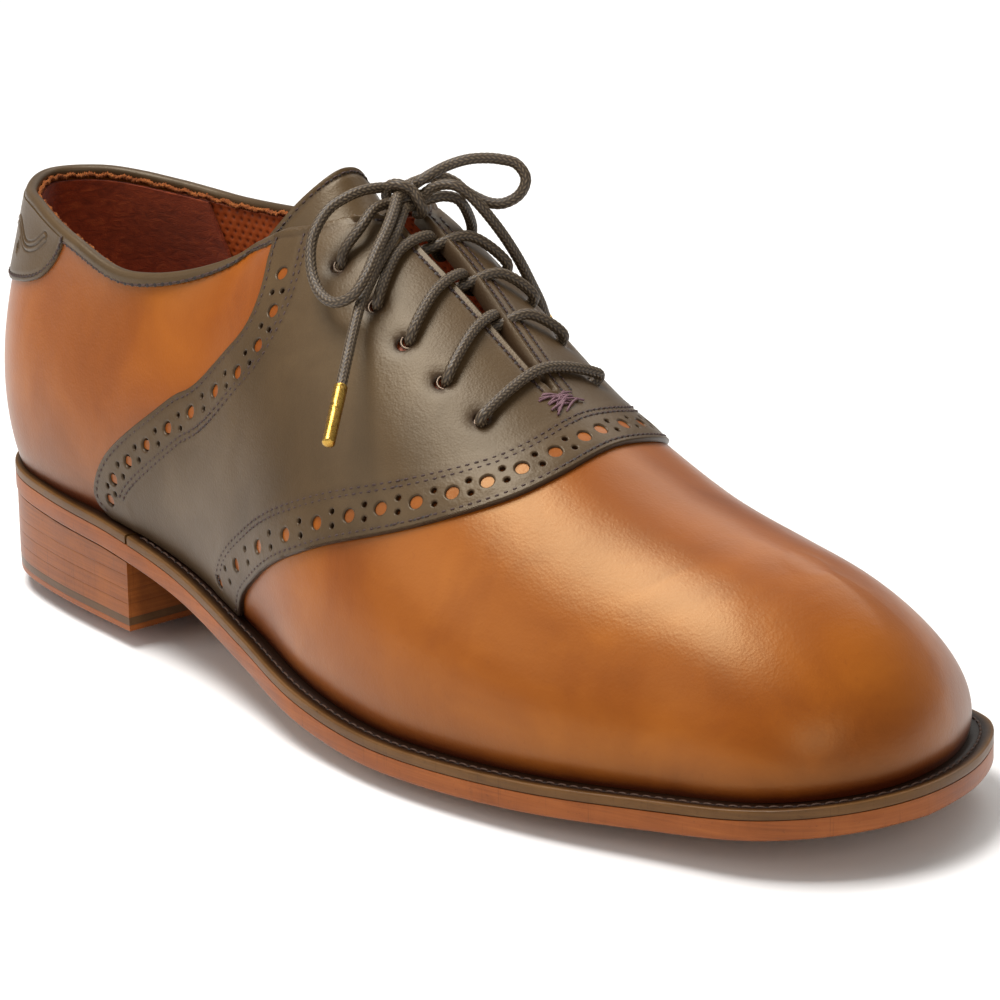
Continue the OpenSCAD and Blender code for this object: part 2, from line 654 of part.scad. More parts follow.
module receptacle_hole() {
    translate([0, 0, -3]) cylinder(d = receptacle_d + 0.3, h = 3 + receptacle_h + 0.3, $fn = 48);
}

module forefoot_receptacles() {
    piece("gray") for (i = [0:len(forefoot_cleats) - 1]) at_forefoot(i) receptacle();
}

module heel_receptacles() {
    piece("gray") for (i = [0:len(heel_cleats) - 1]) at_heel(i) receptacle();
}

module cleat() {
    translate([0, 0, -cleat_gap - 1.8]) cylinder(d1 = cleat_d - 4, d2 = cleat_d, h = 1.8, $fn = 48);
    translate([0, 0, -cleat_gap - 0.5]) cylinder(d = stem_d, h = stem_h + cleat_gap + 0.5, $fn = 48);
    translate([0, 0, -cleat_h + 0.8]) cylinder(d1 = 4, d2 = 7, h = cleat_h - 0.8 - cleat_gap - 1, $fn = 32);
    for (k = [0:LEGS - 1]) rotate(360 * k / LEGS) translate([cleat_d / 2 - 3.6, 0, -cleat_h])
        cylinder(d1 = 2, d2 = 3.2, h = cleat_h - cleat_gap - 1, $fn = 24);
}

module forefoot_cleat(i) {
    piece(cleat_grey) at_forefoot(i) cleat();
}

module heel_cleat(i) {
    piece(cleat_grey) at_heel(i) cleat();
}

module outsole() {
    piece(heel_brown) difference() {
        layer(sole_us, 0, 0, outsole_t - joint_gap);
        for (i = [0:len(forefoot_cleats) - 1]) at_forefoot(i) receptacle_hole();
    }
}

heel_us = [for (i = [0:28]) lerp(breast_medial_u - STATIONS, breast_lateral_u, i / 28)];
top_piece_t = 1.5;
rubber_t = 2;
lift_t = 3.6;

module heel_shape(inset, z0, t) {
    translate([0, 0, z0]) linear_extrude(t)
        polygon([for (u = heel_us) let (p = inset_pt((u + STATIONS) % STATIONS, inset, 0)) [p[0], p[1]]]);
}

module heel_holes() {
    for (i = [0:len(heel_cleats) - 1]) at_heel(i) receptacle_hole();
}

module heel_top_piece() {
    piece([0.5, 0.22, 0.13]) difference() { heel_shape(0.4, 0, top_piece_t); heel_holes(); }
}

module heel_rubber_band() {
    piece([0.25, 0.17, 0.11]) difference() { heel_shape(0.4, top_piece_t, rubber_t); heel_holes(); }
}

lift_z = top_piece_t + rubber_t;
module heel_lift_lower() {
    piece(heel_brown) difference() { heel_shape(0.3, lift_z, lift_t); heel_holes(); }
}
module heel_lift_middle() { piece(heel_brown) heel_shape(0.3, lift_z + lift_t, lift_t); }
module heel_lift_upper() { piece(heel_brown) heel_shape(0.3, lift_z + 2 * lift_t, lift_t); }

wedge_z = lift_z + 3 * lift_t;
module heel_wedge() {
    us = [0.12, 0.45, 0.8, 1.2, 1.6, 2, 2.5, 3, 3.6, breast_lateral_u];
    low = function (p) [p[0], p[1], wedge_z];
    piece(heel_brown) slab(
        [for (u = us) low(inset_pt(u, 0.3, 0))], [for (u = us) low(inset_pt(STATIONS - u, 0.3, 0))],
        [for (u = us) inset_pt(u, 0.3, -0.1)], [for (u = us) inset_pt(STATIONS - u, 0.3, -0.1)]);
}

module heel_nails() {
    piece("silver") for (p = [[12, 0], [38, -22], [38, 22], [38, 0], [66, 0]])
        translate([p[0] * stretch, p[1], lift_z + 1]) cylinder(d = 1.6, h = 13, $fn = 16);
}

vamp();
vamp_lining();
toe_puff();
quarter_lateral();
quarter_medial();
quarter_lining_lateral();
quarter_lining_medial();
heel_counter();
heel_grip();
heel_tab();
collar_binding();
saddle();
facing_stay_lateral();
facing_stay_medial();
eyelet_rings();
throat_bar_tack();
tongue();
tongue_lining();
lace();
lace_knot();
bow_loop_lateral();
bow_loop_medial();
lace_end_lateral();
lace_end_medial();
aglet_lateral();
aglet_medial();
sock_liner();
insole();
cork_filler();
steel_shank();
welt();
heel_rand();
outsole();
heel_wedge();
heel_lift_upper();
heel_lift_middle();
heel_lift_lower();
heel_rubber_band();
heel_top_piece();
heel_nails();
forefoot_receptacles();
heel_receptacles();
forefoot_cleat(0);  // cleat_1
forefoot_cleat(1);  // cleat_2
forefoot_cleat(2);  // cleat_3
forefoot_cleat(3);  // cleat_4
forefoot_cleat(4);  // cleat_5
forefoot_cleat(5);  // cleat_6
forefoot_cleat(6);  // cleat_7
heel_cleat(0);  // cleat_8
heel_cleat(1);  // cleat_9
heel_cleat(2);  // cleat_10
heel_cleat(3);  // cleat_11
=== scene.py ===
"""Looks of a right-foot saddle oxford golf shoe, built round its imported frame.

Shapes are written in millimetres with the heel back at x = 0 and the sole's lowest plane at z = 0;
to_m() puts them in the frame.
"""
import math

import bmesh
import bpy
import numpy as np
from mathutils import Matrix, Vector, geometry, kdtree


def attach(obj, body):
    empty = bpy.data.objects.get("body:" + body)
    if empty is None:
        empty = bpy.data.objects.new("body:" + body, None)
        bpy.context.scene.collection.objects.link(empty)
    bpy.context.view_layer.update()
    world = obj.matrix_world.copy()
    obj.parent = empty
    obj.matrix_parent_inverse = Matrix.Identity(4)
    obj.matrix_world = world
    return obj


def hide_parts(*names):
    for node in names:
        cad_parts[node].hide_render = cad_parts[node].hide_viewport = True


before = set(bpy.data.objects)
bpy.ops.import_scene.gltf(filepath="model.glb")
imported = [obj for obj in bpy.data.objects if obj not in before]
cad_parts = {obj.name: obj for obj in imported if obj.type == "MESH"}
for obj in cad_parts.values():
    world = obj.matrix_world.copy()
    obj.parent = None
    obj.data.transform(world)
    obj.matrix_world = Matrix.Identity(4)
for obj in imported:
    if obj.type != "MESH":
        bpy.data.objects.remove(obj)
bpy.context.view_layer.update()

SHIFT = np.array([-149.0, -1.2, 4.5])
BODY = "shoe"
PI = math.pi


def to_m(points):
    return (np.asarray(points, float) + SHIFT) * 0.001


def smooth(t):
    t = np.clip(t, 0, 1)
    return t * t * (3 - 2 * t)


def bump(x, width):
    return np.exp(-(x / width) ** 2)


def unit(v):
    """Vectors of length one, along the last axis."""
    return v / np.linalg.norm(v, axis=-1, keepdims=True)


def run_length(p):
    """Distance along a line at each of its points."""
    return np.concatenate([[0], np.cumsum(np.linalg.norm(np.diff(p, axis=0), axis=1))])


def follow(at, length, rows):
    """Rows of a table at distances along its line."""
    return np.stack([np.interp(at, length, column) for column in rows.T], -1)


def around(count):
    """Even angles round a circle."""
    return 2 * PI * np.arange(count) / count


# ---------------------------------------------------------------- camera

CAMERA_TURN = (50.113, 17.588, -1.02)      # degrees round the shoe, up, and roll
CAMERA_AIM, CAMERA_AWAY = (165.7, 5.82, 45), 1117.26
CAMERA_LENS, CAMERA_SENSOR = 173.6, 36


def make_camera():
    az, el, roll = (math.radians(a) for a in CAMERA_TURN)
    back = np.array([math.sin(az) * math.cos(el), -math.cos(az) * math.cos(el), math.sin(el)])
    right = np.array([math.cos(az), math.sin(az), 0])
    up = np.cross(back, right)
    r = math.cos(roll) * right + math.sin(roll) * up
    u = -math.sin(roll) * right + math.cos(roll) * up
    place = to_m(np.array(CAMERA_AIM) + CAMERA_AWAY * back)
    data = bpy.data.cameras.new("camera")
    data.lens = CAMERA_LENS
    data.sensor_width = CAMERA_SENSOR
    cam = bpy.data.objects.new("camera", data)
    cam.matrix_world = Matrix([[r[i], u[i], back[i], place[i]] for i in range(3)] + [[0, 0, 0, 1]])
    bpy.context.scene.collection.objects.link(cam)
    bpy.context.scene.camera = cam
    return cam


camera = make_camera()

# ---------------------------------------------------------------- materials


class Nodes:
    """A short way to write one procedural material."""

    def __init__(self, name):
        self.mat = bpy.data.materials.new(name)
        self.mat.use_nodes = True
        self.tree = self.mat.node_tree
        self.bsdf = self.tree.nodes["Principled BSDF"]
        self.place = self.add("ShaderNodeTexCoord").outputs["Object"]

    def add(self, kind, **props):
        node = self.tree.nodes.new(kind)
        for key, value in props.items():
            setattr(node, key, value)
        return node

    def link(self, a, b):
        self.tree.links.new(a, b)

    def put(self, socket, value):
        if isinstance(value, bpy.types.NodeSocket):
            self.link(value, socket)
        else:
            socket.default_value = value

    def set(self, **values):
        for key, value in values.items():
            name = key.replace("_", " ")
            if name == "Base Color" and not isinstance(value, bpy.types.NodeSocket):
                value = (*value, 1)
            self.put(self.bsdf.inputs[name], value)

    def mapping(self, scale, vector=None):
        node = self.add("ShaderNodeMapping")
        self.link(vector or self.place, node.inputs["Vector"])
        node.inputs["Scale"].default_value = scale
        return node.outputs["Vector"]

    def noise(self, scale, detail=4, rough=0.55, vector=None, distort=0):
        node = self.add("ShaderNodeTexNoise")
        self.link(vector or self.place, node.inputs["Vector"])
        self.put(node.inputs["Scale"], scale)
        node.inputs["Detail"].default_value = detail
        node.inputs["Roughness"].default_value = rough
        node.inputs["Distortion"].default_value = distort
        return node.outputs["Fac"]

    def cells(self, scale, feature="F1", vector=None):
        node = self.add("ShaderNodeTexVoronoi", feature=feature)
        self.link(vector or self.place, node.inputs["Vector"])
        node.inputs["Scale"].default_value = scale
        return node.outputs["Distance"]

    def attribute(self, name):
        return self.add("ShaderNodeAttribute", attribute_name=name).outputs["Fac"]

    def ramp(self, fac, *stops):
        node = self.add("ShaderNodeValToRGB")
        self.link(fac, node.inputs["Fac"])
        bar = node.color_ramp
        while len(bar.elements) < len(stops):
            bar.elements.new(0.5)
        for element, (at, colour) in zip(bar.elements, stops):
            element.position = at
            element.color = (*colour, 1) if len(colour) == 3 else colour
        return node.outputs["Color"]

    def math(self, op, a, b=0.0, clamp=False):
        node = self.add("ShaderNodeMath", operation=op, use_clamp=clamp)
        self.put(node.inputs[0], a)
        self.put(node.inputs[1], b)
        return node.outputs[0]

    def span(self, fac, lo, hi, a=0.0, b=1.0):
        node = self.add("ShaderNodeMapRange")
        self.link(fac, node.inputs["Value"])
        for name, value in zip(("From Min", "From Max", "To Min", "To Max"), (lo, hi, a, b)):
            node.inputs[name].default_value = value
        return node.outputs["Result"]

    def mix(self, fac, a, b, blend="MIX"):
        node = self.add("ShaderNodeMix", data_type="RGBA", blend_type=blend)
        self.put(node.inputs["Factor"], fac)
        for socket, value in ((node.inputs[6], a), (node.inputs[7], b)):
            self.put(socket, (*value, 1) if isinstance(value, tuple) and len(value) == 3 else value)
        return node.outputs[2]

    def blend(self, a, share, b):
        """The mean of two values, with a's share of it."""
        first = self.math("MULTIPLY", a, share)
        return self.math("ADD", first, self.math("MULTIPLY", b, round(1 - share, 2)))

    def darken_by_burnish_and_shade(self, base, dark):
        """Darkens a colour by the mesh's burnish values: burnished finish, dark joints and edges, and painted
        shade.
        """
        return self.mix(self.math("MULTIPLY", self.attribute("burnish_and_shade"), 1.0, clamp=True), base, dark)

    def bumps(self, *layers):
        """layers: (height, strength, distance in metres)"""
        normal = None
        for height, strength, distance in layers:
            node = self.add("ShaderNodeBump")
            node.inputs["Strength"].default_value = strength
            node.inputs["Distance"].default_value = distance
            self.link(height, node.inputs["Height"])
            if normal is not None:
                self.link(normal, node.inputs["Normal"])
            normal = node.outputs["Normal"]
        self.link(normal, self.bsdf.inputs["Normal"])


def tan_leather():
    """Burnished tan calf: cloudy hand finish, darker low down and at the edges by burnish and painted shade,
    fine pores.
    """
    n = Nodes("tan_leather")
    cloud = n.noise(34, 5, 0.55, distort=0.6)
    patch = n.noise(13, 2, 0.5)
    fine = n.noise(700, 3, 0.6)
    base = n.ramp(n.blend(cloud, 0.6, patch),
                  (0.33, (0.170, 0.035, 0.003)), (0.5, (0.250, 0.060, 0.005)), (0.67, (0.34, 0.094, 0.009)))
    streak = n.noise(1, 3, 0.6, n.mapping((60, 60, 420)))
    base = n.mix(n.span(streak, 0.35, 0.75, 0, 0.22), base, (0.27, 0.064, 0.006))
    speck = n.span(fine, 0.62, 0.75, 0, 0.22)
    base = n.mix(speck, base, (0.18, 0.038, 0.006))
    # Darkening from the mesh: burnished toe, back and seam, and painted shade low down, under the collar and
    # in the throat's gap.
    dark = n.math("MULTIPLY", n.attribute("burnish_and_shade"), n.span(cloud, 0.2, 0.8, 1.25, 0.75), clamp=True)
    base = n.mix(dark, base, (0.070, 0.011, 0.002))
    n.set(Base_Color=base, Roughness=n.span(cloud, 0.2, 0.8, 0.38, 0.29), Coat_Weight=0.04,
          Coat_Roughness=0.3, Specular_IOR_Level=0.55, Specular_Tint=(1.0, 0.74, 0.36, 1))
    n.bumps((n.cells(1500), 0.10, 0.0002), (fine, 0.10, 0.0003), (n.noise(120, 3), 0.07, 0.0012))
    return n.mat


def taupe_leather():
    """Dark grey-brown leather with a satin face and small pores."""
    n = Nodes("taupe_leather")
    cloud = n.noise(40, 4, 0.55, distort=0.4)
    fine = n.noise(900, 3, 0.6)
    base = n.ramp(cloud, (0.3, (0.058, 0.033, 0.013)), (0.5, (0.074, 0.043, 0.018)),
                  (0.72, (0.094, 0.057, 0.025)))
    base = n.mix(n.span(fine, 0.6, 0.78, 0, 0.3), base, (0.055, 0.034, 0.020))
    # Darker from the mesh: cut edges, and painted shade in grooves, round holes and eyelets and under the
    # collar.
    base = n.darken_by_burnish_and_shade(base, (0.022, 0.010, 0.006))
    n.set(Base_Color=base, Roughness=n.span(cloud, 0.2, 0.8, 0.45, 0.35), Specular_IOR_Level=0.38,
          Specular_Tint=(1.0, 0.90, 0.72, 1))
    n.bumps((n.cells(1700), 0.14, 0.0002), (fine, 0.12, 0.0003), (n.noise(150, 3), 0.08, 0.001))
    return n.mat


def plain(name, stops, scale=60, rough=(0.5, 0.7), fine=900, strength=0.2, depth=0.0003, metal=0.0):
    """A mottled material with a fine surface: the quieter parts use it."""
    n = Nodes(name)
    cloud = n.noise(scale, 5, 0.6, distort=0.3)
    grain = n.noise(fine, 3, 0.6)
    base = n.ramp(n.blend(cloud, 0.65, grain),
                  *[(0.32 + 0.36 * i / (len(stops) - 1), c) for i, c in enumerate(stops)])
    n.set(Base_Color=base, Roughness=n.span(cloud, 0.25, 0.75, *rough), Metallic=metal)
    n.bumps((grain, strength, depth))
    return n.mat


TAN = tan_leather()
TAUPE = taupe_leather()
THREAD = plain("thread", [(0.032, 0.013, 0.010), (0.062, 0.030, 0.024)], 900, fine=4000)
# Needle holes are dark discs: painted shade for the holes' depth.
NEEDLE_HOLE_SHADE = plain("stitch_hole_shade", [(0.008, 0.003, 0.002), (0.022, 0.009, 0.006)], 900)

# ---------------------------------------------------------------- meshes


def make(name, points, faces, mat, slot, *nodes, body=BODY, sharp=38, burnish_and_shade=None, weld=0.0):
    """One shown piece from points in mm; burnish darkens its material point by point: a burnished finish,
    dark joints and edges, and painted shade.
    """
    if name in bpy.data.objects:
        name += "_detail"
    me = bpy.data.meshes.new(name)
    me.from_pydata(to_m(points).tolist(), [], faces)
    if burnish_and_shade is not None:
        layer = me.attributes.new("burnish_and_shade", "FLOAT", "POINT")
        layer.data.foreach_set("value", np.asarray(burnish_and_shade, np.float32))
    if weld:
        bm = bmesh.new()
        bm.from_mesh(me)
        bmesh.ops.remove_doubles(bm, verts=bm.verts, dist=weld * 0.001)
        bmesh.ops.dissolve_degenerate(bm, edges=bm.edges, dist=1e-7)
        bm.to_mesh(me)
        bm.free()
    me.validate()
    me.shade_smooth()
    if sharp:
        me.set_sharp_from_angle(angle=math.radians(sharp))
    obj = bpy.data.objects.new(name, me)
    bpy.context.scene.collection.objects.link(obj)
    me.materials.append(mat)
    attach(obj, body)
    if nodes:
        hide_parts(*nodes)
    return obj


def grid_faces(n, m, start=0, flip=False):
    faces = []
    for i in range(n - 1):
        for j in range(m - 1):
            a = start + i * m + j
            q = (a, a + m, a + m + 1, a + 1)
            faces.append(q[::-1] if flip else q)
    return faces


def loft_faces(rings, sides, flip=False, start=0):
    """Quads between rings of points, and the two end caps."""
    faces = []
    for i in range(rings - 1):
        for j in range(sides):
            a, b = start + i * sides + j, start + i * sides + (j + 1) % sides
            faces.append((a, a + sides, b + sides, b) if flip else (a, b, b + sides, a + sides))
    first, last = (tuple(range(k, k + sides)) for k in (start, start + (rings - 1) * sides))
    return faces + ([first, last[::-1]] if flip else [first[::-1], last])


class Gathered:
    """Points and faces of several solids that make one piece."""

    def __init__(self):
        self.points, self.faces = [], []

    def add(self, points, faces):
        start = len(self.points)
        self.points += list(points)
        self.faces += [tuple(int(i) + start for i in face) for face in faces]


def shell(outer, inner, ridge=False):
    """Closed shell between two grids of points: outer faces out, inner faces in.

    With ridge, the last column has no wall: its two halves are welded to each other."""
    n, m = outer.shape[:2]
    count = n * m
    faces = grid_faces(n, m) + grid_faces(n, m, count, True)
    ring = [(i, 0) for i in range(n)] + [(n - 1, j) for j in range(1, m)]
    ring += [(i, m - 1) for i in range(n - 2, -1, -1)] + [(0, j) for j in range(m - 2, 0, -1)]
    ids = [i * m + j for i, j in ring]
    for a, b in zip(ids, ids[1:] + ids[:1]):
        if not (ridge and a % m == m - 1 and b % m == m - 1):
            faces.append((b, a, a + count, b + count))
    return np.concatenate([outer.reshape(-1, 3), inner.reshape(-1, 3)]), faces


def through(a, b, c, d, t):
    """Catmull-Rom curve from b to c."""
    square, cube = 2 * a - 5 * b + 4 * c - d, 3 * b - a - 3 * c + d
    return 0.5 * (2 * b + (c - a) * t + square * t * t + cube * t ** 3)


def catmull(points, step, closed=False):
    """Smooth curve through points, resampled to even steps."""
    p = np.asarray(points, float)
    if closed:
        p = np.concatenate([p[-1:], p, p[:2]])
    else:
        p = np.concatenate([2 * p[:1] - p[1:2], p, 2 * p[-1:] - p[-2:-1]])
    out = []
    t = np.linspace(0, 1, 24, endpoint=False)[:, None]
    for i in range(1, len(p) - 2):
        a, b, c, d = p[i - 1:i + 3]
        out.append(through(a, b, c, d, t))
    out.append(p[-2:-1])
    return resample(np.concatenate(out), step)


def resample(p, step):
    length = run_length(p)
    n = max(2, int(round(length[-1] / step)) + 1)
    return follow(np.linspace(0, length[-1], n), length, p)


# ---------------------------------------------------------------- the last

STATIONS = 26
STACK = 7.1        # outsole and welt
RING = np.array([  # outsole edge x, y, stand-out | top edge x, y, z | handles out, up, out, down, ridge slope
    [0, 0, 1.5, -3, 0, 94.5, 7, 29, 4.5, 21.5, 0],
    [5, -17, 1.5, 8, -14, 94.5, 8, 28, 5, 21.5, 0],
    [18, -28.5, 1.8, 24, -22.5, 94.5, 8.5, 25, 3, 20.5, 0],
    [40, -34, 2.5, 45, -27.5, 90.5, 7.5, 23.5, 0, 18, 0],
    [70, -37, 4, 70, -27.5, 86, 7.5, 22, 0.5, 17.5, 0],
    [100, -39, 5, 98, -18, 94, 9, 24, 12, 16, -0.1],
    [130, -44.5, 5.5, 119, -0.5, 113, 12, 28, 27, 8, -0.35],
    [160, -51, 5.5, 153, -1.5, 100.5, 13, 26, 31.5, 5.5, -0.45],
    [195, -53, 5.5, 193, -1.5, 78, 12, 24, 33.5, 2.5, -0.5],
    [230, -48, 5.5, 220, -0.5, 65, 10, 22, 30.5, 0.5, -0.4],
    [262, -38, 5.5, 242, 3.5, 58, 8, 20, 26, 0, -0.28],
    [287, -28.5, 5.5, 255.5, 7, 55, 7, 18, 24, 0, -0.25],
    [301, -13, 5.5, 262, 9, 53.8, 6, 18, 22, 0, -0.25],
    [305, 7, 5.5, 264, 10, 53.4, 5.5, 17.5, 21.5, 0, -0.25],
    [298, 30, 5.5, 262, 9, 53.8, 4.5, 16.5, 21, 0, -0.25],
    [281, 50, 5.5, 255.5, 7, 55, 4.5, 16, 22.5, 0, -0.25],
    [256, 55.5, 5.5, 242, 3.5, 58, 6.5, 19, 25, 0, -0.28],
    [225, 54.5, 5.5, 220, -0.5, 65, 9, 19.5, 29.5, 0.5, -0.4],
    [195, 50, 5.5, 193, -1.5, 78, 10, 23, 33.5, 2.5, -0.5],
    [165, 42, 5, 153, 4.5, 100.5, 9, 28.5, 31.5, 5.5, -0.45],
    [135, 37.5, 4.5, 119, 8, 113, 6.5, 33, 27, 8, -0.35],
    [105, 34, 4, 94, 21.5, 98, 5.5, 29, 12, 16.5, -0.1],
    [70, 34.5, 3.5, 68, 29, 91.5, 6, 24.5, 0, 18, 0],
    [40, 33, 2.5, 41, 29.5, 89.5, 6, 24, 0, 18, 0],
    [18, 27.5, 1.8, 20, 24, 91.5, 6, 26, 2, 20, 0],
    [5, 16, 1.5, 4, 14, 94, 7, 29.5, 3.5, 21.5, 0]])


def periodic(u):
    """Rows of RING at u, on a smooth closed curve through the stations."""
    u = np.asarray(u, float)
    k = np.floor(u).astype(int)
    f = (u - k)[..., None]
    a, b, c, d = (RING[(k + o) % STATIONS] for o in (-1, 0, 1, 2))
    return through(a, b, c, d, f)


SOLE_LENGTH, HEEL_END, BALL = 305, 60, 192
HEEL_SEAT, TOE_SPRING = 21, 6.5


def sole_z(x):
    """Height of the sole's underside: level at the heel, a smooth fall to the ball, then the toe's spring."""
    along = np.clip(x, 0, SOLE_LENGTH)
    fall = smooth((along - HEEL_END) / (BALL - HEEL_END))
    rise = np.clip((x - BALL) / (SOLE_LENGTH - BALL), 0, 1)
    return np.where(x < BALL, (HEEL_SEAT - along / 30) * (1 - fall), 0) + TOE_SPRING * rise * rise


def edge(u):
    """Outsole edge point x, y and its outward direction."""
    u = np.asarray(u, float)
    d = periodic(u + 0.01)[..., :2] - periodic(u - 0.01)[..., :2]
    n = np.stack([d[..., 1], -d[..., 0]], -1)
    return periodic(u)[..., :3], unit(n)


def rim(u, inset, z):
    """Point of the outsole's outline moved in by inset, at height z above the sole's underside."""
    p, n = edge(u)
    xy = p[..., :2] - np.asarray(inset)[..., None] * n
    return np.concatenate([xy, (sole_z(xy[..., 0]) + z)[..., None]], -1)


def rib(u):
    """Control points of the last's curve at u, from the welt up to the top edge."""
    q = periodic(u)
    p, n = edge(u)
    foot = rim(u, p[..., 2], STACK)
    other = periodic(STATIONS - np.asarray(u, float))
    front = ((u >= 8) & (u <= 18))[..., None]
    top = np.where(front, (q[..., 3:6] + other[..., 3:6]) / 2, q[..., 3:6])
    zero = np.zeros_like(q[..., :1])
    n3 = np.concatenate([n, zero], -1)
    up = np.concatenate([zero, zero, zero + 1], -1)
    h = [q[..., i:i + 1] for i in range(6, 11)]
    return (foot, foot + h[0] * n3 + h[1] * up,
            top + h[2] * n3 + (h[4] * h[2] * n[..., :1] - h[3]) * up, top)


def surface(u, v):
    """The last: u runs round it from the heel's back, v from the welt (0) to the top edge (1)."""
    a, b, c, d = rib(np.asarray(u, float))
    v = np.asarray(v, float)[..., None]
    w = 1 - v
    return w ** 3 * a + 3 * w * w * v * b + 3 * w * v * v * c + v ** 3 * d


def normal(u, v):
    """Outward normals of the last."""
    u = np.asarray(u, float)
    v = np.minimum(np.asarray(v, float), 0.985)
    e = 0.01
    du = surface(u + e, v) - surface(u - e, v)
    dv = surface(u, v + e) - surface(u, v - e)
    return unit(np.cross(du, dv))


def off(u, v, d):
    """Points at distance d outside the last."""
    return surface(u, v) + np.asarray(d)[..., None] * normal(u, v)


NOTCH = np.array([[5.0, 1], [5.2, 1], [5.4, 0.925], [5.6, 0.855], [5.8, 0.82], [6, 0.812], [6.15, 0.82],
                  [6.3, 0.855], [6.42, 0.905], [6.5, 0.955], [6.56, 1], [7, 1]])
_fine = np.linspace(4.8, 7, 441)
_raw = np.interp(_fine, NOTCH[:, 0], NOTCH[:, 1])
_soft = np.convolve(np.pad(_raw, 12, "edge"), np.ones(25) / 25, "valid")


def top_v(u):
    """Top edge as v against u: it dips behind the facings."""
    u = np.asarray(u, float) % STATIONS
    return np.interp(np.minimum(u, STATIONS - u), _fine, _soft)


def dents(points, size=26.0, depth=0.16):
    """Slow unevenness of hand-lasted leather."""
    p = points / size
    return depth * (np.sin(p[:, 0] * 1.7 + 2 * np.sin(p[:, 1] * 1.3 + 1)) * np.cos(p[:, 2] * 2.1 + p[:, 1])
                    + 0.6 * np.sin(p[:, 1] * 3.1 + p[:, 0] * 2.3 + 0.7) * np.sin(p[:, 2] * 3.7 + 1.9))


# ---------------------------------------------------------------- seams

def soften(p, passes=6):
    """Evens out a run of points, ends held."""
    p = p.copy()
    for _ in range(passes):
        p[1:-1] = 0.5 * p[1:-1] + 0.25 * (p[:-2] + p[2:])
    return p


FOOT_V = 0.014
REAR = soften(catmull([
    (3.84, FOOT_V), (3.70, 0.06), (3.74, 0.14), (3.94, 0.277), (4.32, 0.42), (4.76, 0.535), (5.02, 0.558),
    (5.3, 0.568), (5.6, 0.574), (5.83, 0.59), (5.95, 0.63), (5.96, 0.68), (5.88, 0.74), (5.78, 0.822)],
    0.02))
FRONT = soften(catmull([
    (5.78, FOOT_V), (6.0, 0.103), (6.38, 0.19), (6.8, 0.277), (7.2, 0.357), (7.6, 0.447), (7.92, 0.537),
    (8.26, 0.657), (8.48, 0.76), (8.62, 0.88), (8.66, 1.0)], 0.02))
WIDE, TALL = 26.0, 112.0       # mm of flat pattern per station, and from the welt to the top edge


def unfold(x, y, d=0.0):
    """The saddle's flat pattern to the last: x along the shoe, y up one side and down the other."""
    u, lateral = np.asarray(x) / WIDE, np.asarray(y) <= TALL
    v = np.where(lateral, np.asarray(y) / TALL, 2 - np.asarray(y) / TALL)
    return off(np.where(lateral, u, STATIONS - u), v, np.asarray(d, float) + 0 * v)


def pattern_frame(x, y):
    """Position and the two pattern derivatives, by differences that stay on one side."""
    e = 0.05
    s = np.where(y > TALL, 1, -1) * e
    p = unfold(x, y)
    return p, (unfold(x + e, y) - p) / e, (unfold(x, y + s) - p) / s[..., None]


def walk(x, y, steps):
    """Moves pattern points by a 3-D step in the surface."""
    _, dx, dy = pattern_frame(x, y)
    a, b, c = (dx * dx).sum(-1), (dx * dy).sum(-1), (dy * dy).sum(-1)
    r, s = (dx * steps).sum(-1), (dy * steps).sum(-1)
    det = np.maximum(a * c - b * b, 1e-6)
    return x + np.clip((c * r - b * s) / det, -4, 4), y + np.clip((a * s - b * r) / det, -4, 4)


def distances(points, targets):
    """Distance from each point to the nearest target."""
    tree = kdtree.KDTree(len(targets))
    for i, p in enumerate(targets):
        tree.insert(p, i)
    tree.balance()
    return np.array([tree.find(p)[2] for p in points])


def across_ridge(line):
    """A pattern line mirrored to the shoe's other side."""
    return line * (1, -1) + (0, 2 * TALL)


def offset_row(line, distance, side):
    """A line on the pattern, moved sideways by a distance in mm on the last."""
    x, y = line[:, 0].copy(), line[:, 1].copy()
    parts = max(1, int(abs(distance) / 1.5))
    p = unfold(x, y)
    along = unit(np.gradient(p, axis=0))
    for _ in range(parts):
        _, dx, dy = pattern_frame(x, y)
        sign = np.where(y > TALL, -1, 1)[:, None]
        out = np.cross(unit(np.cross(dx, dy) * sign), along) * sign
        x, y = walk(x, y, out * side * distance / parts)
    return np.stack([x, y], 1)[distances(unfold(x, y), p) > abs(distance) * 0.96]


def on_pattern(line, step, mirror=False):
    """A (u, v) line as even steps on the pattern, on the lateral or the medial side."""
    flat = line * (WIDE, TALL)
    return even(across_ridge(flat) if mirror else flat, step)


def even(flat, step):
    """Resamples a pattern line to even steps on the last."""
    length = run_length(unfold(*flat.T))
    at = np.linspace(0, length[-1], max(2, int(round(length[-1] / step)) + 1))
    return follow(at, length, flat)


def inside_saddle(flat):
    """Whether pattern points are within the saddle's top and bottom edges."""
    y = np.minimum(flat[:, 1], 2 * TALL - flat[:, 1])
    v = y / TALL
    return (v > FOOT_V + 0.004) & ((v < top_v(flat[:, 0] / WIDE) - 0.012) | (flat[:, 0] > 8.02 * WIDE))


BAND_ROWS = (1.5, 10.2, 11.6)     # the band's stitching, mm in from the cut edge
BIG_R, SMALL_R, PAIR_APART = 1.55, 0.66, 3.3
STITCH = 2.1
LEATHER = 1.3

front_line = np.concatenate([on_pattern(FRONT, 0.5), on_pattern(FRONT, 0.5, True)[::-1][1:]])
rear_lines = [on_pattern(REAR, 0.5), on_pattern(REAR, 0.5, True)]

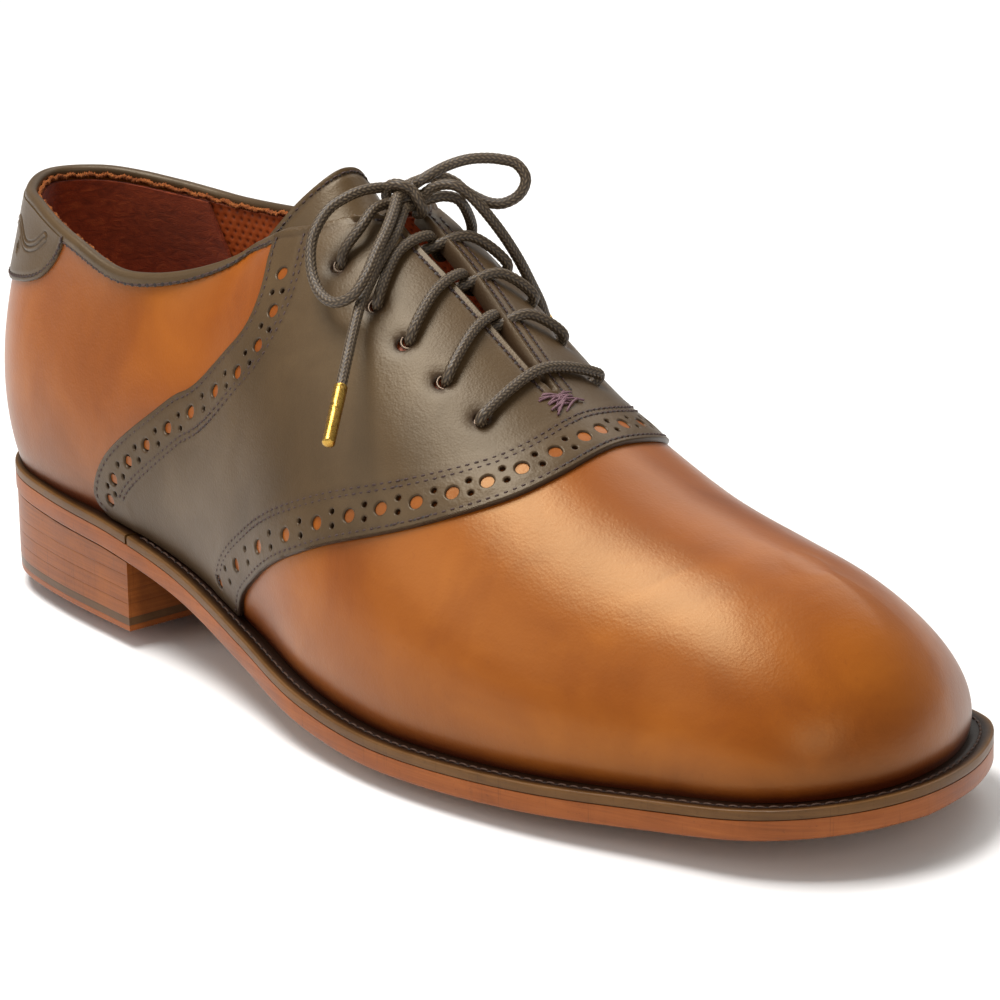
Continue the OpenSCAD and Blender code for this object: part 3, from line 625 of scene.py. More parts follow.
# Centres of the big holes as (u, v) on the lateral side; the medial side mirrors them
REAR_HOLES = [(6.17, 0.712), (6.235, 0.642), (6.16, 0.573), (5.93, 0.517), (5.58, 0.497), (5.16, 0.485),
              (4.82, 0.443), (4.53, 0.371), (4.28, 0.288), (4.05, 0.19), (3.95, 0.095)]
FRONT_HOLES = [(5.58, 0.08), (6.02, 0.172), (6.50, 0.262), (6.90, 0.338), (7.21, 0.405), (7.46, 0.463),
               (7.66, 0.519), (7.86, 0.579), (8.04, 0.645), (8.2, 0.715), (8.335, 0.793), (8.425, 0.882),
               (8.46, 0.972)]
EYELETS = [(6.61, 0.805), (6.985, 0.81), (7.285, 0.80), (7.585, 0.805), (7.89, 0.815)]


def hole_row(centres):
    """Big holes, and pairs of small ones half way between, on both sides: (x, y, radius)."""
    out = []
    for mirror in (False, True):
        flat = np.array(centres) * (WIDE, TALL)
        if mirror:
            flat = across_ridge(flat)
        out += [(x, y, BIG_R) for x, y in flat]
        mid = (flat[1:] + flat[:-1]) / 2
        p = unfold(*flat.T)
        _, dx, dy = pattern_frame(*mid.T)
        across = unit(np.cross(np.cross(dx, dy), p[1:] - p[:-1]))
        for s in (-1, 1):
            x, y = walk(*mid.T, across * s * PAIR_APART / 2)
            out += [(a, b, SMALL_R) for a, b in zip(x, y)]
    return out


def ring(x, y, radius, count):
    """A round loop of the given radius on the last, as pattern points."""
    t = np.linspace(0, 2 * PI, count, endpoint=False)
    xs, ys = np.full(count, float(x)), np.full(count, float(y))
    _, dx, dy = pattern_frame(xs, ys)
    e1 = unit(dx)
    e2 = unit(dy - (dy * e1).sum(-1, keepdims=True) * e1)
    x2, y2 = walk(xs, ys, radius * (np.cos(t)[:, None] * e1 + np.sin(t)[:, None] * e2))
    return np.stack([x2, y2], 1)


def cut_panel(outline, holes, spacing, extra=()):
    """Triangles of a flat pattern with round holes: returns 2-D points and triangles."""
    following = np.roll(outline, -1, axis=0)
    if (outline[:, 0] * following[:, 1] - following[:, 0] * outline[:, 1]).sum() < 0:
        outline = outline[::-1]
    count = lambda r: 28 if r > 1 else 14
    loops = [outline] + [ring(x, y, r, count(r)) for x, y, r in holes]
    rings = [ring(x, y, r + g, count(r)) for x, y, r in holes for g in (0.22, 0.5)]
    fixed = np.concatenate(loops + rings + list(extra))
    lo, hi = outline.min(0), outline.max(0)
    xs = np.arange(lo[0], hi[0], spacing)
    ys = np.arange(lo[1], hi[1], spacing * 0.866)
    gx, gy = np.meshgrid(xs, ys, indexing="ij")
    gx = gx + (np.arange(len(ys)) % 2) * spacing / 2
    lattice = np.stack([gx.ravel(), gy.ravel()], 1)
    lattice = lattice[in_polygon(lattice, outline)]
    lattice = lattice[distances(unfold(*lattice.T), unfold(*fixed.T)) > spacing * 0.5]
    polys, at = [], 0
    for loop in loops:
        polys.append(list(range(at, at + len(loop))))
        at += len(loop)
    verts, _, tris, _, _, owners = geometry.delaunay_2d_cdt(
        [Vector(p) for p in np.concatenate([fixed, lattice])], [], polys, 1, 1e-5)
    solid = [t for t, own in zip(tris, owners) if list(own) == [0]]      # inside the outline and no hole
    return np.array([tuple(v) for v in verts]), solid


def in_polygon(points, poly):
    """Which 2-D points are inside a closed outline."""
    inside = np.zeros(len(points), bool)
    x, y = points[:, 0], points[:, 1]
    for (x0, y0), (x1, y1) in zip(poly, np.roll(poly, -1, axis=0)):
        if y0 == y1:
            continue
        hit = (y0 > y) != (y1 > y)
        inside ^= hit & (x < (x1 - x0) * (y - y0) / (y1 - y0) + x0)
    return inside


def thick(points, under, tris):
    """Closed solid from a top skin and its matching underside."""
    count = len(points)
    seen = dict.fromkeys((a, b) for t in tris for a, b in zip(t, t[1:] + t[:1]))
    faces = [tuple(t) for t in tris] + [tuple(i + count for i in t[::-1]) for t in tris]
    faces += [(b, a, a + count, b + count) for a, b in seen if (b, a) not in seen]
    return np.concatenate([points, under]), faces


# ---------------------------------------------------------------- stitches

# Sections of one stitch: place along it, height (1 = the full lift), thickness
STITCH_SECTIONS = [(-0.5, -0.16, 0.6), (-0.36, 0.03, 0.95), (-0.12, 1, 1), (0.12, 1, 1), (0.36, 0.03, 0.95),
                   (0.5, -0.16, 0.6)]
THREAD_SIDES, HOLE_SIDES = 6, 8


def stitch_run(line, normals, pitch=STITCH, gauge=0.25, lift=0.13, fill=0.60):
    """Thread along a 3-D line: one low arc per stitch, and the needle holes between."""
    length = run_length(line)
    count = max(1, int(round(length[-1] / pitch)))
    step = length[-1] / count
    place, rise, thickness = np.array(STITCH_SECTIONS).T
    rise = np.where(rise == 1, lift, rise)
    stitches, holes = Gathered(), []
    for k in range(count):
        at = step * (k + 0.5 + fill * place)
        n = unit(follow(at, length, normals))
        centre = follow(at, length, line) + n * rise[:, None]
        side = unit(np.cross(n, unit(centre[-1] - centre[0])))
        t = around(THREAD_SIDES)[None, :, None]
        points = centre[:, None] + (gauge * thickness)[:, None, None] * (
            np.cos(t) * side[:, None] + 0.8 * np.sin(t) * n[:, None])
        stitches.add(points.reshape(-1, 3), loft_faces(len(place), THREAD_SIDES))
        holes.append((follow(step * k, length, line), follow(step * k, length, normals)))
    return stitches, holes


class Sewing:
    """Collects stitches of one kind into two pieces: the thread and dark discs of painted shade at its needle
    holes.
    """

    def __init__(self):
        self.thread, self.holes = Gathered(), Gathered()

    def run(self, line, normals, hole_r=0.58, **kinds):
        if len(line) < 3:
            return
        stitches, holes = stitch_run(line, normals, **kinds)
        self.thread.add(stitches.points, stitches.faces)
        t = around(HOLE_SIDES)[:, None]
        faces = []
        for k in range(HOLE_SIDES):
            a, b = 1 + k, 1 + (k + 1) % HOLE_SIDES
            faces += [(0, a, b), (a, a + HOLE_SIDES, b + HOLE_SIDES, b)]
        # A dark disc of painted shade at each needle hole.
        for centre, n in holes:
            n = unit(n)
            a = unit(np.cross(n, [0.3, 0.5, 0.8]))
            way = np.cos(t) * a + np.sin(t) * np.cross(n, a)
            self.holes.add(np.concatenate([[centre + n * 0.045], centre + hole_r * 0.7 * way + n * 0.03,
                                           centre + hole_r * way - n * 0.06]), faces)

    def on_pattern(self, flat, height, **kinds):
        """Sews along a pattern line, on a skin that stands at the given height."""
        keep = inside_saddle(flat)
        runs = np.split(np.arange(len(flat)), np.where(np.diff(keep.astype(int)) != 0)[0] + 1)
        for part in runs:
            if keep[part[0]] and len(part) > 6:
                line = unfold(*flat[part].T, height)
                self.run(line, unfold(*flat[part].T, height + 1.0) - line, **kinds)

    def finish(self, name, thread, slot="thread", body=BODY):
        for kind, solid, mat in (("thread", self.thread, thread), ("needle_holes", self.holes, NEEDLE_HOLE_SHADE)):
            make(f"{name}_{kind}", solid.points, solid.faces, mat, slot, body=body, sharp=0)


# ---------------------------------------------------------------- laces

LACE_R = 1.3
AGLET_LENGTH = 17.0
BRAID_COLUMNS, BRAID_PITCH, BRAID_STEP = 10, 1.3, 0.22


def wax():
    """Waxed cotton: painted shade darkens the grooves between the strands, and it is paler where they are
    rubbed.
    """
    n = Nodes("waxed_lace")
    rub = n.noise(260, 4, 0.6)
    low = n.attribute("burnish_and_shade")
    base = n.ramp(low, (0.05, (0.165, 0.120, 0.070)), (0.35, (0.072, 0.047, 0.025)),
                  (0.85, (0.014, 0.007, 0.004)))
    base = n.mix(n.span(rub, 0.35, 0.7, 0, 0.45), base, (0.050, 0.034, 0.019))
    n.set(Base_Color=base, Roughness=n.span(rub, 0.3, 0.7, 0.42, 0.58))
    n.bumps((n.noise(5200, 2), 0.25, 0.0002))
    return n.mat


def brass():
    """Yellow brass with fine scratches along it."""
    n = Nodes("aglet_brass")
    cloud = n.noise(420, 4, 0.6)
    scratch = n.noise(1, 2, 0.5, n.mapping((2600, 2600, 240)))
    base = n.ramp(cloud, (0.3, (0.36, 0.20, 0.035)), (0.7, (0.56, 0.35, 0.08)))
    # Darker along the lapped seam, and painted shade in the crimp creases, from the mesh's values.
    base = n.mix(n.attribute("burnish_and_shade"), base, (0.10, 0.045, 0.008))
    n.set(Base_Color=base, Roughness=n.span(scratch, 0.3, 0.7, 0.22, 0.42), Metallic=1.0)
    n.bumps((scratch, 0.05, 0.0001))
    return n.mat


WAX = wax()
BRASS = brass()


def frames_along(path):
    """Side and up at each point of a path, turning as little as possible."""
    t = unit(np.gradient(path, axis=0))
    side = np.zeros_like(t)
    s = np.cross(t[0], (0.1, 0.2, 1.0))
    for i in range(len(t)):
        s = unit(s - t[i] * s.dot(t[i]))
        side[i] = s
    return side, np.cross(t, side)


def tube_mesh(path, radius):
    """Closed tube: radius is one row of values round the path for each of its points."""
    side, up = frames_along(path)
    rings, sides = radius.shape
    t = around(sides)[None, :, None]
    way = np.cos(t) * side[:, None] + np.sin(t) * up[:, None]
    return (path[:, None] + way * radius[..., None]).reshape(-1, 3), loft_faces(rings, sides)


def braid(name, route, *nodes, start=0.0):
    """Round lace braided in a herringbone, along a route of listed points in mm."""
    path = catmull(route, BRAID_STEP)
    m = BRAID_COLUMNS * 4
    c = np.arange(m) / 4
    column, f = np.floor(c), c - np.floor(c)
    slant = np.where(column % 2 == 0, f, 1 - f) * 0.85
    phase = ((np.arange(len(path)) * BRAID_STEP + start) / BRAID_PITCH)[:, None] + slant + 0.5 * (column % 2)
    phase = phase % 1
    high = (1 - np.abs(2 * phase - 1) ** 2.2) * (0.35 + 0.65 * (1 - np.abs(2 * f - 1) ** 3))
    points, faces = tube_mesh(path, LACE_R * (0.87 + 0.15 * high))
    # burnish here is painted shade down in the braid's grooves.
    obj = make(name, points, faces, WAX, "waxed_lace", *nodes, sharp=0, burnish_and_shade=1 - high.ravel())
    return obj, to_m(path)


def with_tip(route, reach=AGLET_LENGTH):
    """A lace end's route carried on straight through its aglet."""
    p = np.array(route, float)
    return np.concatenate([p, [p[-1] + reach * unit(p[-1] - p[-2])]])


def aglet(name, route, node):
    """Rolled brass tip on the last of a lace end: a lapped seam and the crimping tool's marks."""
    path = resample(with_tip(route)[-2:], 0.25)
    a = around(40)[None, :]
    s = np.linspace(0, 1, len(path))[:, None]
    seam = (a - 2.1 + PI) % (2 * PI) - PI
    wrinkle = (s * AGLET_LENGTH / 6.5 + seam / (2 * PI)) % 1
    creases = bump(wrinkle - 0.5, 0.05) * smooth((0.5 - s) / 0.1)
    r = 1.57 - 0.12 * s + 0.10 * smooth(seam / 0.12 + 0.5) * smooth(1 - seam / 2.6) - 0.10 * creases
    r = r - 0.10 * bump(s - 0.035, 0.012) * (1 + 0.5 * np.sin(5 * a))
    r = r * np.where(s > 0.975, 1 - 0.35 * ((s - 0.975) / 0.025) ** 2, 1) * np.where(s < 0.012, 0.94, 1)
    points, faces = tube_mesh(path, r)
    # burnish: the seam line, and painted shade in the crimp creases
    return make(name, points, faces, BRASS, "aglet_brass", node, sharp=50,
                burnish_and_shade=(0.8 * bump(seam, 0.07) + 0.5 * creases).ravel())


BOW_LATERAL = [
    (135.5, 0, 115), (135, -3.5, 115.5), (134.5, -8, 115.5), (134, -12.5, 114.5), (133.5, -17, 112.5),
    (134, -21, 109), (135.5, -24, 105), (139, -26.5, 100), (144, -28, 96.5), (149, -28, 95.5),
    (153, -26, 97.5), (153, -22, 101.5), (150.5, -17, 105.5), (147, -11, 109), (143.5, -6, 112),
    (140.5, -2.5, 114)]
BOW_MEDIAL = [
    (139.5, 4, 116), (141, 7.5, 118), (142, 12, 119.5), (144, 16, 120.5), (146, 20, 120.5),
    (148, 23, 120), (150, 25.5, 119), (152, 26.5, 116.5), (152.5, 26, 114), (151.5, 24.5, 111.5),
    (149.5, 22, 110), (147, 20, 110), (144, 18.5, 111), (141.5, 17, 112.5), (139.5, 15.5, 114.5),
    (138, 12.5, 116), (137, 9, 116), (136.5, 6, 115.5)]
END_LATERAL = [
    (140.5, 0, 111.5), (143, -3.5, 109.5), (146, -7.5, 107.5), (148, -12, 104.5), (150, -17.5, 100),
    (153, -23.5, 95.5), (157.5, -29.5, 91), (162.5, -35.5, 86.5), (167, -41, 82)]
END_MEDIAL = [
    (140.5, 5.5, 113.5), (143, 7.5, 115.5), (146.5, 9.5, 116), (148.5, 12, 114), (150.5, 15, 110),
    (152, 19.5, 103.5), (152.5, 24, 96.5), (152, 28, 90), (151.5, 31, 85), (150.5, 33.5, 80.5)]


def free_cords():
    """The bow's two loops and the lace's two ends."""
    for side, route, length in (("lateral", BOW_LATERAL, 0.084), ("medial", BOW_MEDIAL, 0.062)):
        obj, path = braid("bow_loop_" + side, route, "bow_loop_" + side, start=0.4)
    for side, route, length in (("lateral", END_LATERAL, 0.074), ("medial", END_MEDIAL, 0.0685)):
        tip = aglet("aglet_" + side, route, "aglet_" + side)
        obj, path = braid("lace_end_" + side, with_tip(route, AGLET_LENGTH - 0.8), "lace_end_" + side)


free_cords()

# Lace heights above the tan leather's face: over the facings, and behind their lining
SADDLE_FACE = 1.4
OVER = SADDLE_FACE + LACE_R + 0.25
UNDER = -6.0
EYELET_V, FACING_V = 0.815, 0.93
EYELET_U = (6.62, 7.0, 7.3, 7.6, 7.91)


def at(u, v, d):
    """One point at distance d outside the last."""
    return off(np.array([u]), np.array([v]), np.array([d]))[0]


def mid_top(u, rise):
    """Between the two facings' top edges, raised by rise."""
    return (at(u, 1, 0) + at(STATIONS - u, 1, 0)) / 2 + (0, 0, rise)


def eyelet_u(i, side):
    return STATIONS - EYELET_U[i] if side > 0 else EYELET_U[i]


def crossing(i, side):
    """From an eyelet over its own facing, into the gap and under the other facing."""
    a, b, mid = eyelet_u(i, side), eyelet_u(i - 1, -side), (EYELET_U[i] + EYELET_U[i - 1]) / 2
    near, far = (STATIONS - mid - 0.06, mid - 0.06) if side > 0 else (mid + 0.06, STATIONS - mid + 0.06)
    return [at(a, EYELET_V, -1), at(a, EYELET_V + 0.02, OVER), at(near, FACING_V, OVER),
            mid_top(mid, -1.9 if side > 0 else 1.2), at(far, FACING_V, UNDER), at(b, EYELET_V + 0.02, UNDER)]


def half_lace(side):
    """One half of the lace: from the straight bar at the foot of the facings up to the top eyelet."""
    low, high = eyelet_u(4, side), eyelet_u(0, side)
    return [at(low, EYELET_V + 0.01, OVER), at(low, EYELET_V, -1), at(low, EYELET_V + 0.02, UNDER),
            mid_top(7.75, UNDER - (3 if side > 0 else 0)), at(eyelet_u(3, -side), EYELET_V + 0.02, UNDER),
            *crossing(3, -side), *crossing(2, side), *crossing(1, -side),
            at(high, EYELET_V, -1), at(high, EYELET_V + 0.02, OVER)]


def held_lace():
    """The lace through all ten eyelets, with both its ends coming up to the knot."""
    braid("lace", [(137, -2.5, 112), (137.5, -7, 111.5), (139, -12, 108.5), *half_lace(-1)[::-1],
                   mid_top(7.9, OVER + 0.1), *half_lace(1), (142, 15.5, 110), (141, 11.5, 112),
                   (139, 7, 111.5)], "lace")


def knot():
    """The bow's knot: one turn of lace pulled slantwise over the crossed strands."""
    wrap = [(137.5, 0.5, 111), (136, -1.3, 112.3), (135.5, -1.5, 113.8), (136, -1.5, 115.5), (138, -1, 116.5),
            (139.7, 0, 116.3), (141, 1.8, 115), (142.3, 2.2, 113.3), (142.8, 3, 111.2), (141.6, 4, 109.4),
            (139, 4.5, 108.7)]
    braid("lace_knot", wrap, "lace_knot")
    strands = (
        [(140.3, 4.6, 116.8), (139.3, 3.6, 115.7), (139, 2, 114.6), (139.4, -0.5, 113.9), (140.5, -2.5, 114),
         (141.3, -3.3, 113.5)],
        [(136.6, 7, 115.6), (136.5, 6, 115.5), (136.2, 3, 114.9), (135.5, 0, 115), (135.3, -1.2, 115.2)],
        [(137.2, -3.5, 111.9), (137, -2.5, 112), (138.6, 0.8, 112.4), (139.6, 3.5, 113), (140.6, 5.6, 113.5),
         (141.3, 6.2, 114.2)],
        [(139.5, 8, 111.6), (139, 7, 111.5), (139.4, 4, 111), (140.2, 1, 111.2), (140.8, -0.5, 111.2),
         (141.6, -1.5, 110.7)])
    for k, strand in enumerate(strands, 1):
        braid(f"lace_knot_strand_{k}", strand)


held_lace()
knot()

# ---------------------------------------------------------------- saddle

EYE_R = 1.6
FACING_END, BAND_WIDTH, SLIT = 8.1, 14.5, 0.25


def lay(line):
    """A pattern line as 3-D points on the last."""
    return unfold(*line.T)


def round_off(x, r):
    """How far a rounded edge of radius r falls below its face, at distance x in from the edge."""
    return r - np.sqrt(np.maximum(r * r - np.maximum(r - x, 0) ** 2, 0))


def build_saddle():
    lateral_rear, medial_rear = on_pattern(REAR, 0.55), on_pattern(REAR, 0.55, True)
    count = len(lateral_rear)
    u = np.linspace(REAR[-1, 0], 6.56, 60)
    notch = np.stack([u * WIDE, top_v(u) * TALL], 1)
    facing = np.stack([np.linspace(6.58, 8.0, 120) * WIDE,
                       TALL - SLIT * np.linspace(1, 0.02, 120) ** 0.5], 1)
    half = np.concatenate([lateral_rear, even(notch, 0.55)[1:-1], even(facing, 0.55)])
    half[:, 1] = np.minimum(half[:, 1], TALL - 0.01)
    other = across_ridge(half[::-1])
    floor = even(np.array([(line[0, 0] * WIDE, FOOT_V * TALL) for line in (REAR, FRONT)]), 0.8)[1:-1]
    front = even(front_line, 0.55)
    outline = np.concatenate([half, other, across_ridge(floor), front[::-1], floor[::-1]])
    holes = hole_row(REAR_HOLES) + hole_row(FRONT_HOLES)
    eyelets = [(u * WIDE, v * TALL if not m else (2 - v) * TALL, EYE_R) for u, v in EYELETS for m in (0, 1)]
    cut_lines = ((lateral_rear, -1), (medial_rear, 1), (front, 1))
    inner = [offset_row(line, d, side) for line, side in cut_lines for d in (0.22, 0.55)]
    flat, tris = cut_panel(outline, holes + eyelets, 0.9, inner)
    skin = lay(flat)
    at_edge = distances(skin, np.concatenate([lay(line) for line, _ in cut_lines]))
    at_face = distances(skin, np.concatenate([lay(half[count + 40:]), lay(other[:-count - 40])]))
    at_notch = distances(skin, lay(np.concatenate([notch, across_ridge(notch)])))
    rows = [offset_row(line, d, side) for line, side in
            ((rear_lines[0], -1), (rear_lines[1], 1), (front_line, 1)) for d in BAND_ROWS]
    at_row = distances(skin, np.concatenate([lay(r[inside_saddle(r)]) for r in rows]))
    at_big, at_small, at_eye = (
        distances(skin, lay(np.array([(x, y) for x, y, r in holes + eyelets if r == size]))) - size
        for size in (BIG_R, SMALL_R, EYE_R))
    medial = flat[:, 1] > TALL
    high = LEATHER - 0.1 + 0.18 * smooth((BAND_WIDTH - at_edge) / 3.0) + dents(skin, 22, 0.10)
    high -= round_off(at_edge, 0.5)
    high -= round_off(np.maximum(at_big, 0), 0.28) - 0.10 * bump(at_big - 0.45, 0.3)
    high -= round_off(np.maximum(at_small, 0), 0.2)
    high -= round_off(np.maximum(at_eye, 0), 0.6) + 0.45 * bump(at_eye, 1.8)
    high -= 0.16 * bump(at_row, 0.55)
    high += 0.3 * bump(at_notch - 0.9, 0.7) - 0.25 * bump(at_notch - 2.1, 0.5) - round_off(at_notch, 0.7)
    # folded facing edges: a bead, then a stitched groove
    high += 0.35 * bump(at_face - 0.9, 0.75) - 0.22 * bump(at_face - 2.3, 0.5) - round_off(at_face, 0.7)
    high += 0.18 * bump(at_face - 3.6, 0.8) * medial - 0.15 * bump(at_face - 5.0, 0.45) * medial
    # dark: the cut edges' own colour, and painted shade in the stitched grooves, round the punched holes, in
    # the dips round the eyelets, in the facings' and the notch's grooves, and low down towards the welt,
    # where the finish is burnished too.
    dark = 0.75 * bump(at_edge, 0.45) + 0.35 * bump(at_row, 0.5)
    dark += 0.55 * bump(np.minimum(at_big, at_small), 0.3)
    dark += 0.6 * bump(at_eye, 0.9) + 0.55 * bump(at_face - 0.1, 0.5) + 0.25 * bump(at_face - 2.3, 0.6)
    v = np.minimum(flat[:, 1], 2 * TALL - flat[:, 1]) / TALL
    dark += 0.6 * np.exp(-v / 0.05) + 0.22 * np.exp(-v / 0.25) + 0.35 * bump(at_notch - 2.1, 0.5)
    dark += 0.30 * bump(at_eye, 2.6)
    under = np.where((at_face < 0.3) & (flat[:, 0] / WIDE < FACING_END), -2.2, 0.12)
    points, faces = thick(unfold(*flat.T, high), unfold(*flat.T, under), tris)
    make("saddle", points, faces, TAUPE, "taupe_leather", "saddle", sharp=50,
         burnish_and_shade=np.concatenate([dark, dark * 0 + 0.8]))
    sewing = Sewing()
    for row in rows:
        sewing.on_pattern(even(row, 0.5), LEATHER - 0.1)
    for line, insets in ((half[count:], (2.3,)), (other[:-count], (2.3, 5.0))):
        line = even(line[line[:, 0] > 6.5 * WIDE], 0.5)
        for inset in insets:
            sewing.on_pattern(offset_row(line, inset, -1), LEATHER - 0.15)
    for line, side in ((notch, 1), (across_ridge(notch), -1)):
        sewing.on_pattern(offset_row(even(line, 0.5), 2.1, side), LEATHER - 0.2)
    sewing.finish("saddle", THREAD)
    underlay([(x, y) for x, y, r in holes if r == BIG_R])


def underlay(centres):
    """Tan leather discs that show through the big holes of the perforated bands."""
    discs = Gathered()
    sides, r = 20, BIG_R + 0.25
    t = around(sides)
    top = np.arange(sides)
    faces = [tuple(top), tuple(2 * sides - 1 - top)]
    faces += [((k + 1) % sides, k, sides + k, sides + (k + 1) % sides) for k in range(sides)]
    for x, y in centres:
        edge_line = x + r * np.cos(t), y + r * np.sin(t)
        discs.add(np.concatenate([unfold(*edge_line, 0.95), unfold(*edge_line, 0.02)]), faces)
    make("saddle_underlay", discs.points, discs.faces, TAN, "tan_leather", "saddle", sharp=40)


build_saddle()


# ---------------------------------------------------------------- vamp and quarters

def calm(points, centre, reach=7.0):
    """Evens out the ridge's end over the toe: heights there follow a quadratic fitted just around it."""
    flat = points.reshape(-1, 3)
    d = flat - centre
    r = np.linalg.norm(d, axis=1)
    terms = lambda q: np.stack([q[:, 0] ** i * q[:, 1] ** j for i, j in
                                ((0, 0), (1, 0), (0, 1), (2, 0), (1, 1), (0, 2))], 1)
    near = (r > reach * 0.7) & (r < reach * 1.6)
    fit = np.linalg.lstsq(terms(d[near]), d[near][:, 2], rcond=None)[0]
    w = smooth((reach - r) / (reach * 0.5))
    flat[:, 2] += w * (terms(d) @ fit - d[:, 2])
    return flat.reshape(points.shape)


def panel(name, u_lo, u_hi, v, columns, d_out, d_in, mat, slot, turn=None, weld=0.0, burnish_and_shade=None,
          rough=0.16):
    """A leather panel over a patch of the last: u_lo and u_hi give its two ends at each v."""
    s = np.linspace(0, 1, columns)[:, None]
    u = u_lo(v)[None, :] * (1 - s) + u_hi(v)[None, :] * s
    vv = np.broadcast_to(v, u.shape) * top_v(u)
    flat_u, flat_v = u.ravel(), vv.ravel()
    base = surface(flat_u, flat_v)
    n = normal(flat_u, flat_v)
    lift = dents(base, depth=rough) * smooth(flat_v / 0.1)
    outer = (base + n * (d_out + lift)[:, None]).reshape(*u.shape, 3)
    inner = (base + n * (d_in + lift)[:, None]).reshape(*u.shape, 3)
    if weld:
        pole = surface(np.array([STATIONS / 2.0]), np.array([1.0]))[0]
        outer, inner = calm(outer, pole), calm(inner, pole)
    if turn:
        inset = edge(u[:, 0])[0][:, 2] + turn
        outer, inner = (np.concatenate([rim(u[:, 0], inset, STACK + lift)[:, None], skin], 1)
                        for lift, skin in ((0.05, outer), (1.2, inner)))
    points, faces = shell(outer, inner, ridge=weld > 0)
    if burnish_and_shade:
        value = burnish_and_shade(u, vv)
        if turn:
            value = np.concatenate([value[:, :1], value], 1)
        burnish_and_shade = np.concatenate([value.ravel()] * 2)
    make(name, points, faces, mat, slot, name, burnish_and_shade=burnish_and_shade, weld=weld)


LAP_V = [0, 0.06, 0.14, 0.28, 0.42, 0.54, 0.575, 0.63, 0.74, 0.85, 1]
LAP_U = [4.4, 4.3, 4.35, 4.55, 4.95, 5.5, 6.2, 6.5, 6.45, 6.4, 6.4]
VAMP_LAP, BACK_SEAM = 0.48, 0.012      # stations under the saddle, and half the gap of the back seam
TAN_THICK, TURNED_IN = 1.3, 3.0


def tan_burnish_and_shade(u, v):
    """Where the tan leather is darker: low down towards the welt by burnish and painted shade, burnished toe
    and back, the back seam, and painted shade under the collar and in the throat's gap.
    """
    # low: burnished finish and painted shade together
    low = 0.95 * np.exp(-v / 0.035) + 0.42 * np.exp(-v / 0.16)
    toe = 0.18 * bump(u - 13, 1.4) * np.exp(-v / 0.5)
    near = np.minimum(u, STATIONS - u)
    back = 0.22 * np.exp(-near / 1.2) * np.exp(-v / 0.5)
    # collar: painted shade under the binding
    collar = 0.35 * np.exp(-(1 - v) / 0.05) * (near < 6)
    seam = 0.22 * np.exp(-np.abs(near) / 0.06)
    # gap: painted shade on the leather between the facings
    gap = smooth((v - 0.9) / 0.03) * (near > 6.3) * (near < 7.98)
    return low + toe + back + collar + seam + gap


def build_tan():
    """Vamp from saddle to saddle round the toe, and a quarter on each side of the back seam."""
    def tan_panel(name, lo, hi, rows, columns, **kinds):
        panel(name, lo, hi, rows, columns, 0.0, -TAN_THICK, TAN, "tan_leather", turn=TURNED_IN,
              burnish_and_shade=tan_burnish_and_shade, **kinds)

    front_u = lambda v: np.interp(v, FRONT[:, 1], FRONT[:, 0]) - VAMP_LAP
    lap = lambda v: np.interp(v, LAP_V, LAP_U)
    back = lambda v: BACK_SEAM + 0 * v
    mirror = lambda line: lambda v: STATIONS - line(v)
    rows = np.concatenate([np.linspace(0, 0.05, 9)[:-1], np.linspace(0.05, 1, 110)])
    tan_panel("vamp", front_u, mirror(front_u), rows, 320, weld=0.02)
    rows = np.concatenate([np.linspace(0, 0.05, 8)[:-1], np.linspace(0.05, 0.975, 90)])
    tan_panel("quarter_lateral", back, lap, rows, 130)
    tan_panel("quarter_medial", mirror(lap), mirror(back), rows, 130)


build_tan()

# ---------------------------------------------------------------- collar and heel tab

RAW_EDGE = plain("raw_edge", [(0.20, 0.040, 0.006), (0.42, 0.11, 0.018), (0.62, 0.22, 0.05)], 420,
                 (0.85, 0.95), 3800, 0.9, 0.0012)


def suede():
    """Brushed lining: a dull nap with lighter and darker strokes."""
    n = Nodes("oxblood_suede")
    nap = n.noise(1, 5, 0.65, n.mapping((260, 260, 620)), distort=0.8)
    cloud = n.noise(30, 3)
    base = n.ramp(nap, (0.3, (0.15, 0.018, 0.004)), (0.55, (0.26, 0.036, 0.008)),
                  (0.8, (0.40, 0.075, 0.018)))
    base = n.mix(n.span(cloud, 0.4, 0.8, 0, 0.4), base, (0.15, 0.045, 0.02))
    n.set(Base_Color=base, Roughness=0.92, Sheen_Weight=0.08, Specular_IOR_Level=0.2)
    n.bumps((nap, 0.5, 0.0008), (n.noise(3500, 3), 0.5, 0.0006))
    return n.mat


def dimpled():
    """Smooth lining leather, with painted shade in its dimples."""
    n = Nodes("dimpled_lining")
    cloud = n.noise(90, 4)
    base = n.ramp(cloud, (0.3, (0.26, 0.040, 0.005)), (0.7, (0.42, 0.080, 0.011)))
    base = n.mix(n.attribute("burnish_and_shade"), base, (0.075, 0.014, 0.004))
    n.set(Base_Color=base, Roughness=n.span(cloud, 0.3, 0.7, 0.45, 0.6))
    n.bumps((n.noise(1200, 3), 0.2, 0.0004))
    return n.mat


SUEDE = suede()
DIMPLED = dimpled()


def climb(u):
    """The top edge at u: its point, the outward normal, the way up, and mm per unit of v."""
    v = top_v(u)
    p, below, n = surface(u, v), surface(u, v - 0.02), normal(u, v)
    up = p - below
    rise = np.linalg.norm(up, axis=-1, keepdims=True)
    return p, n, up / rise, rise[..., 0] / 0.02


COLLAR_U = np.linspace(-6.5, 6.5, 620)
SEWN_TO, FRAYED_TO = 5.75, 5.3       # stations each way from the heel's back
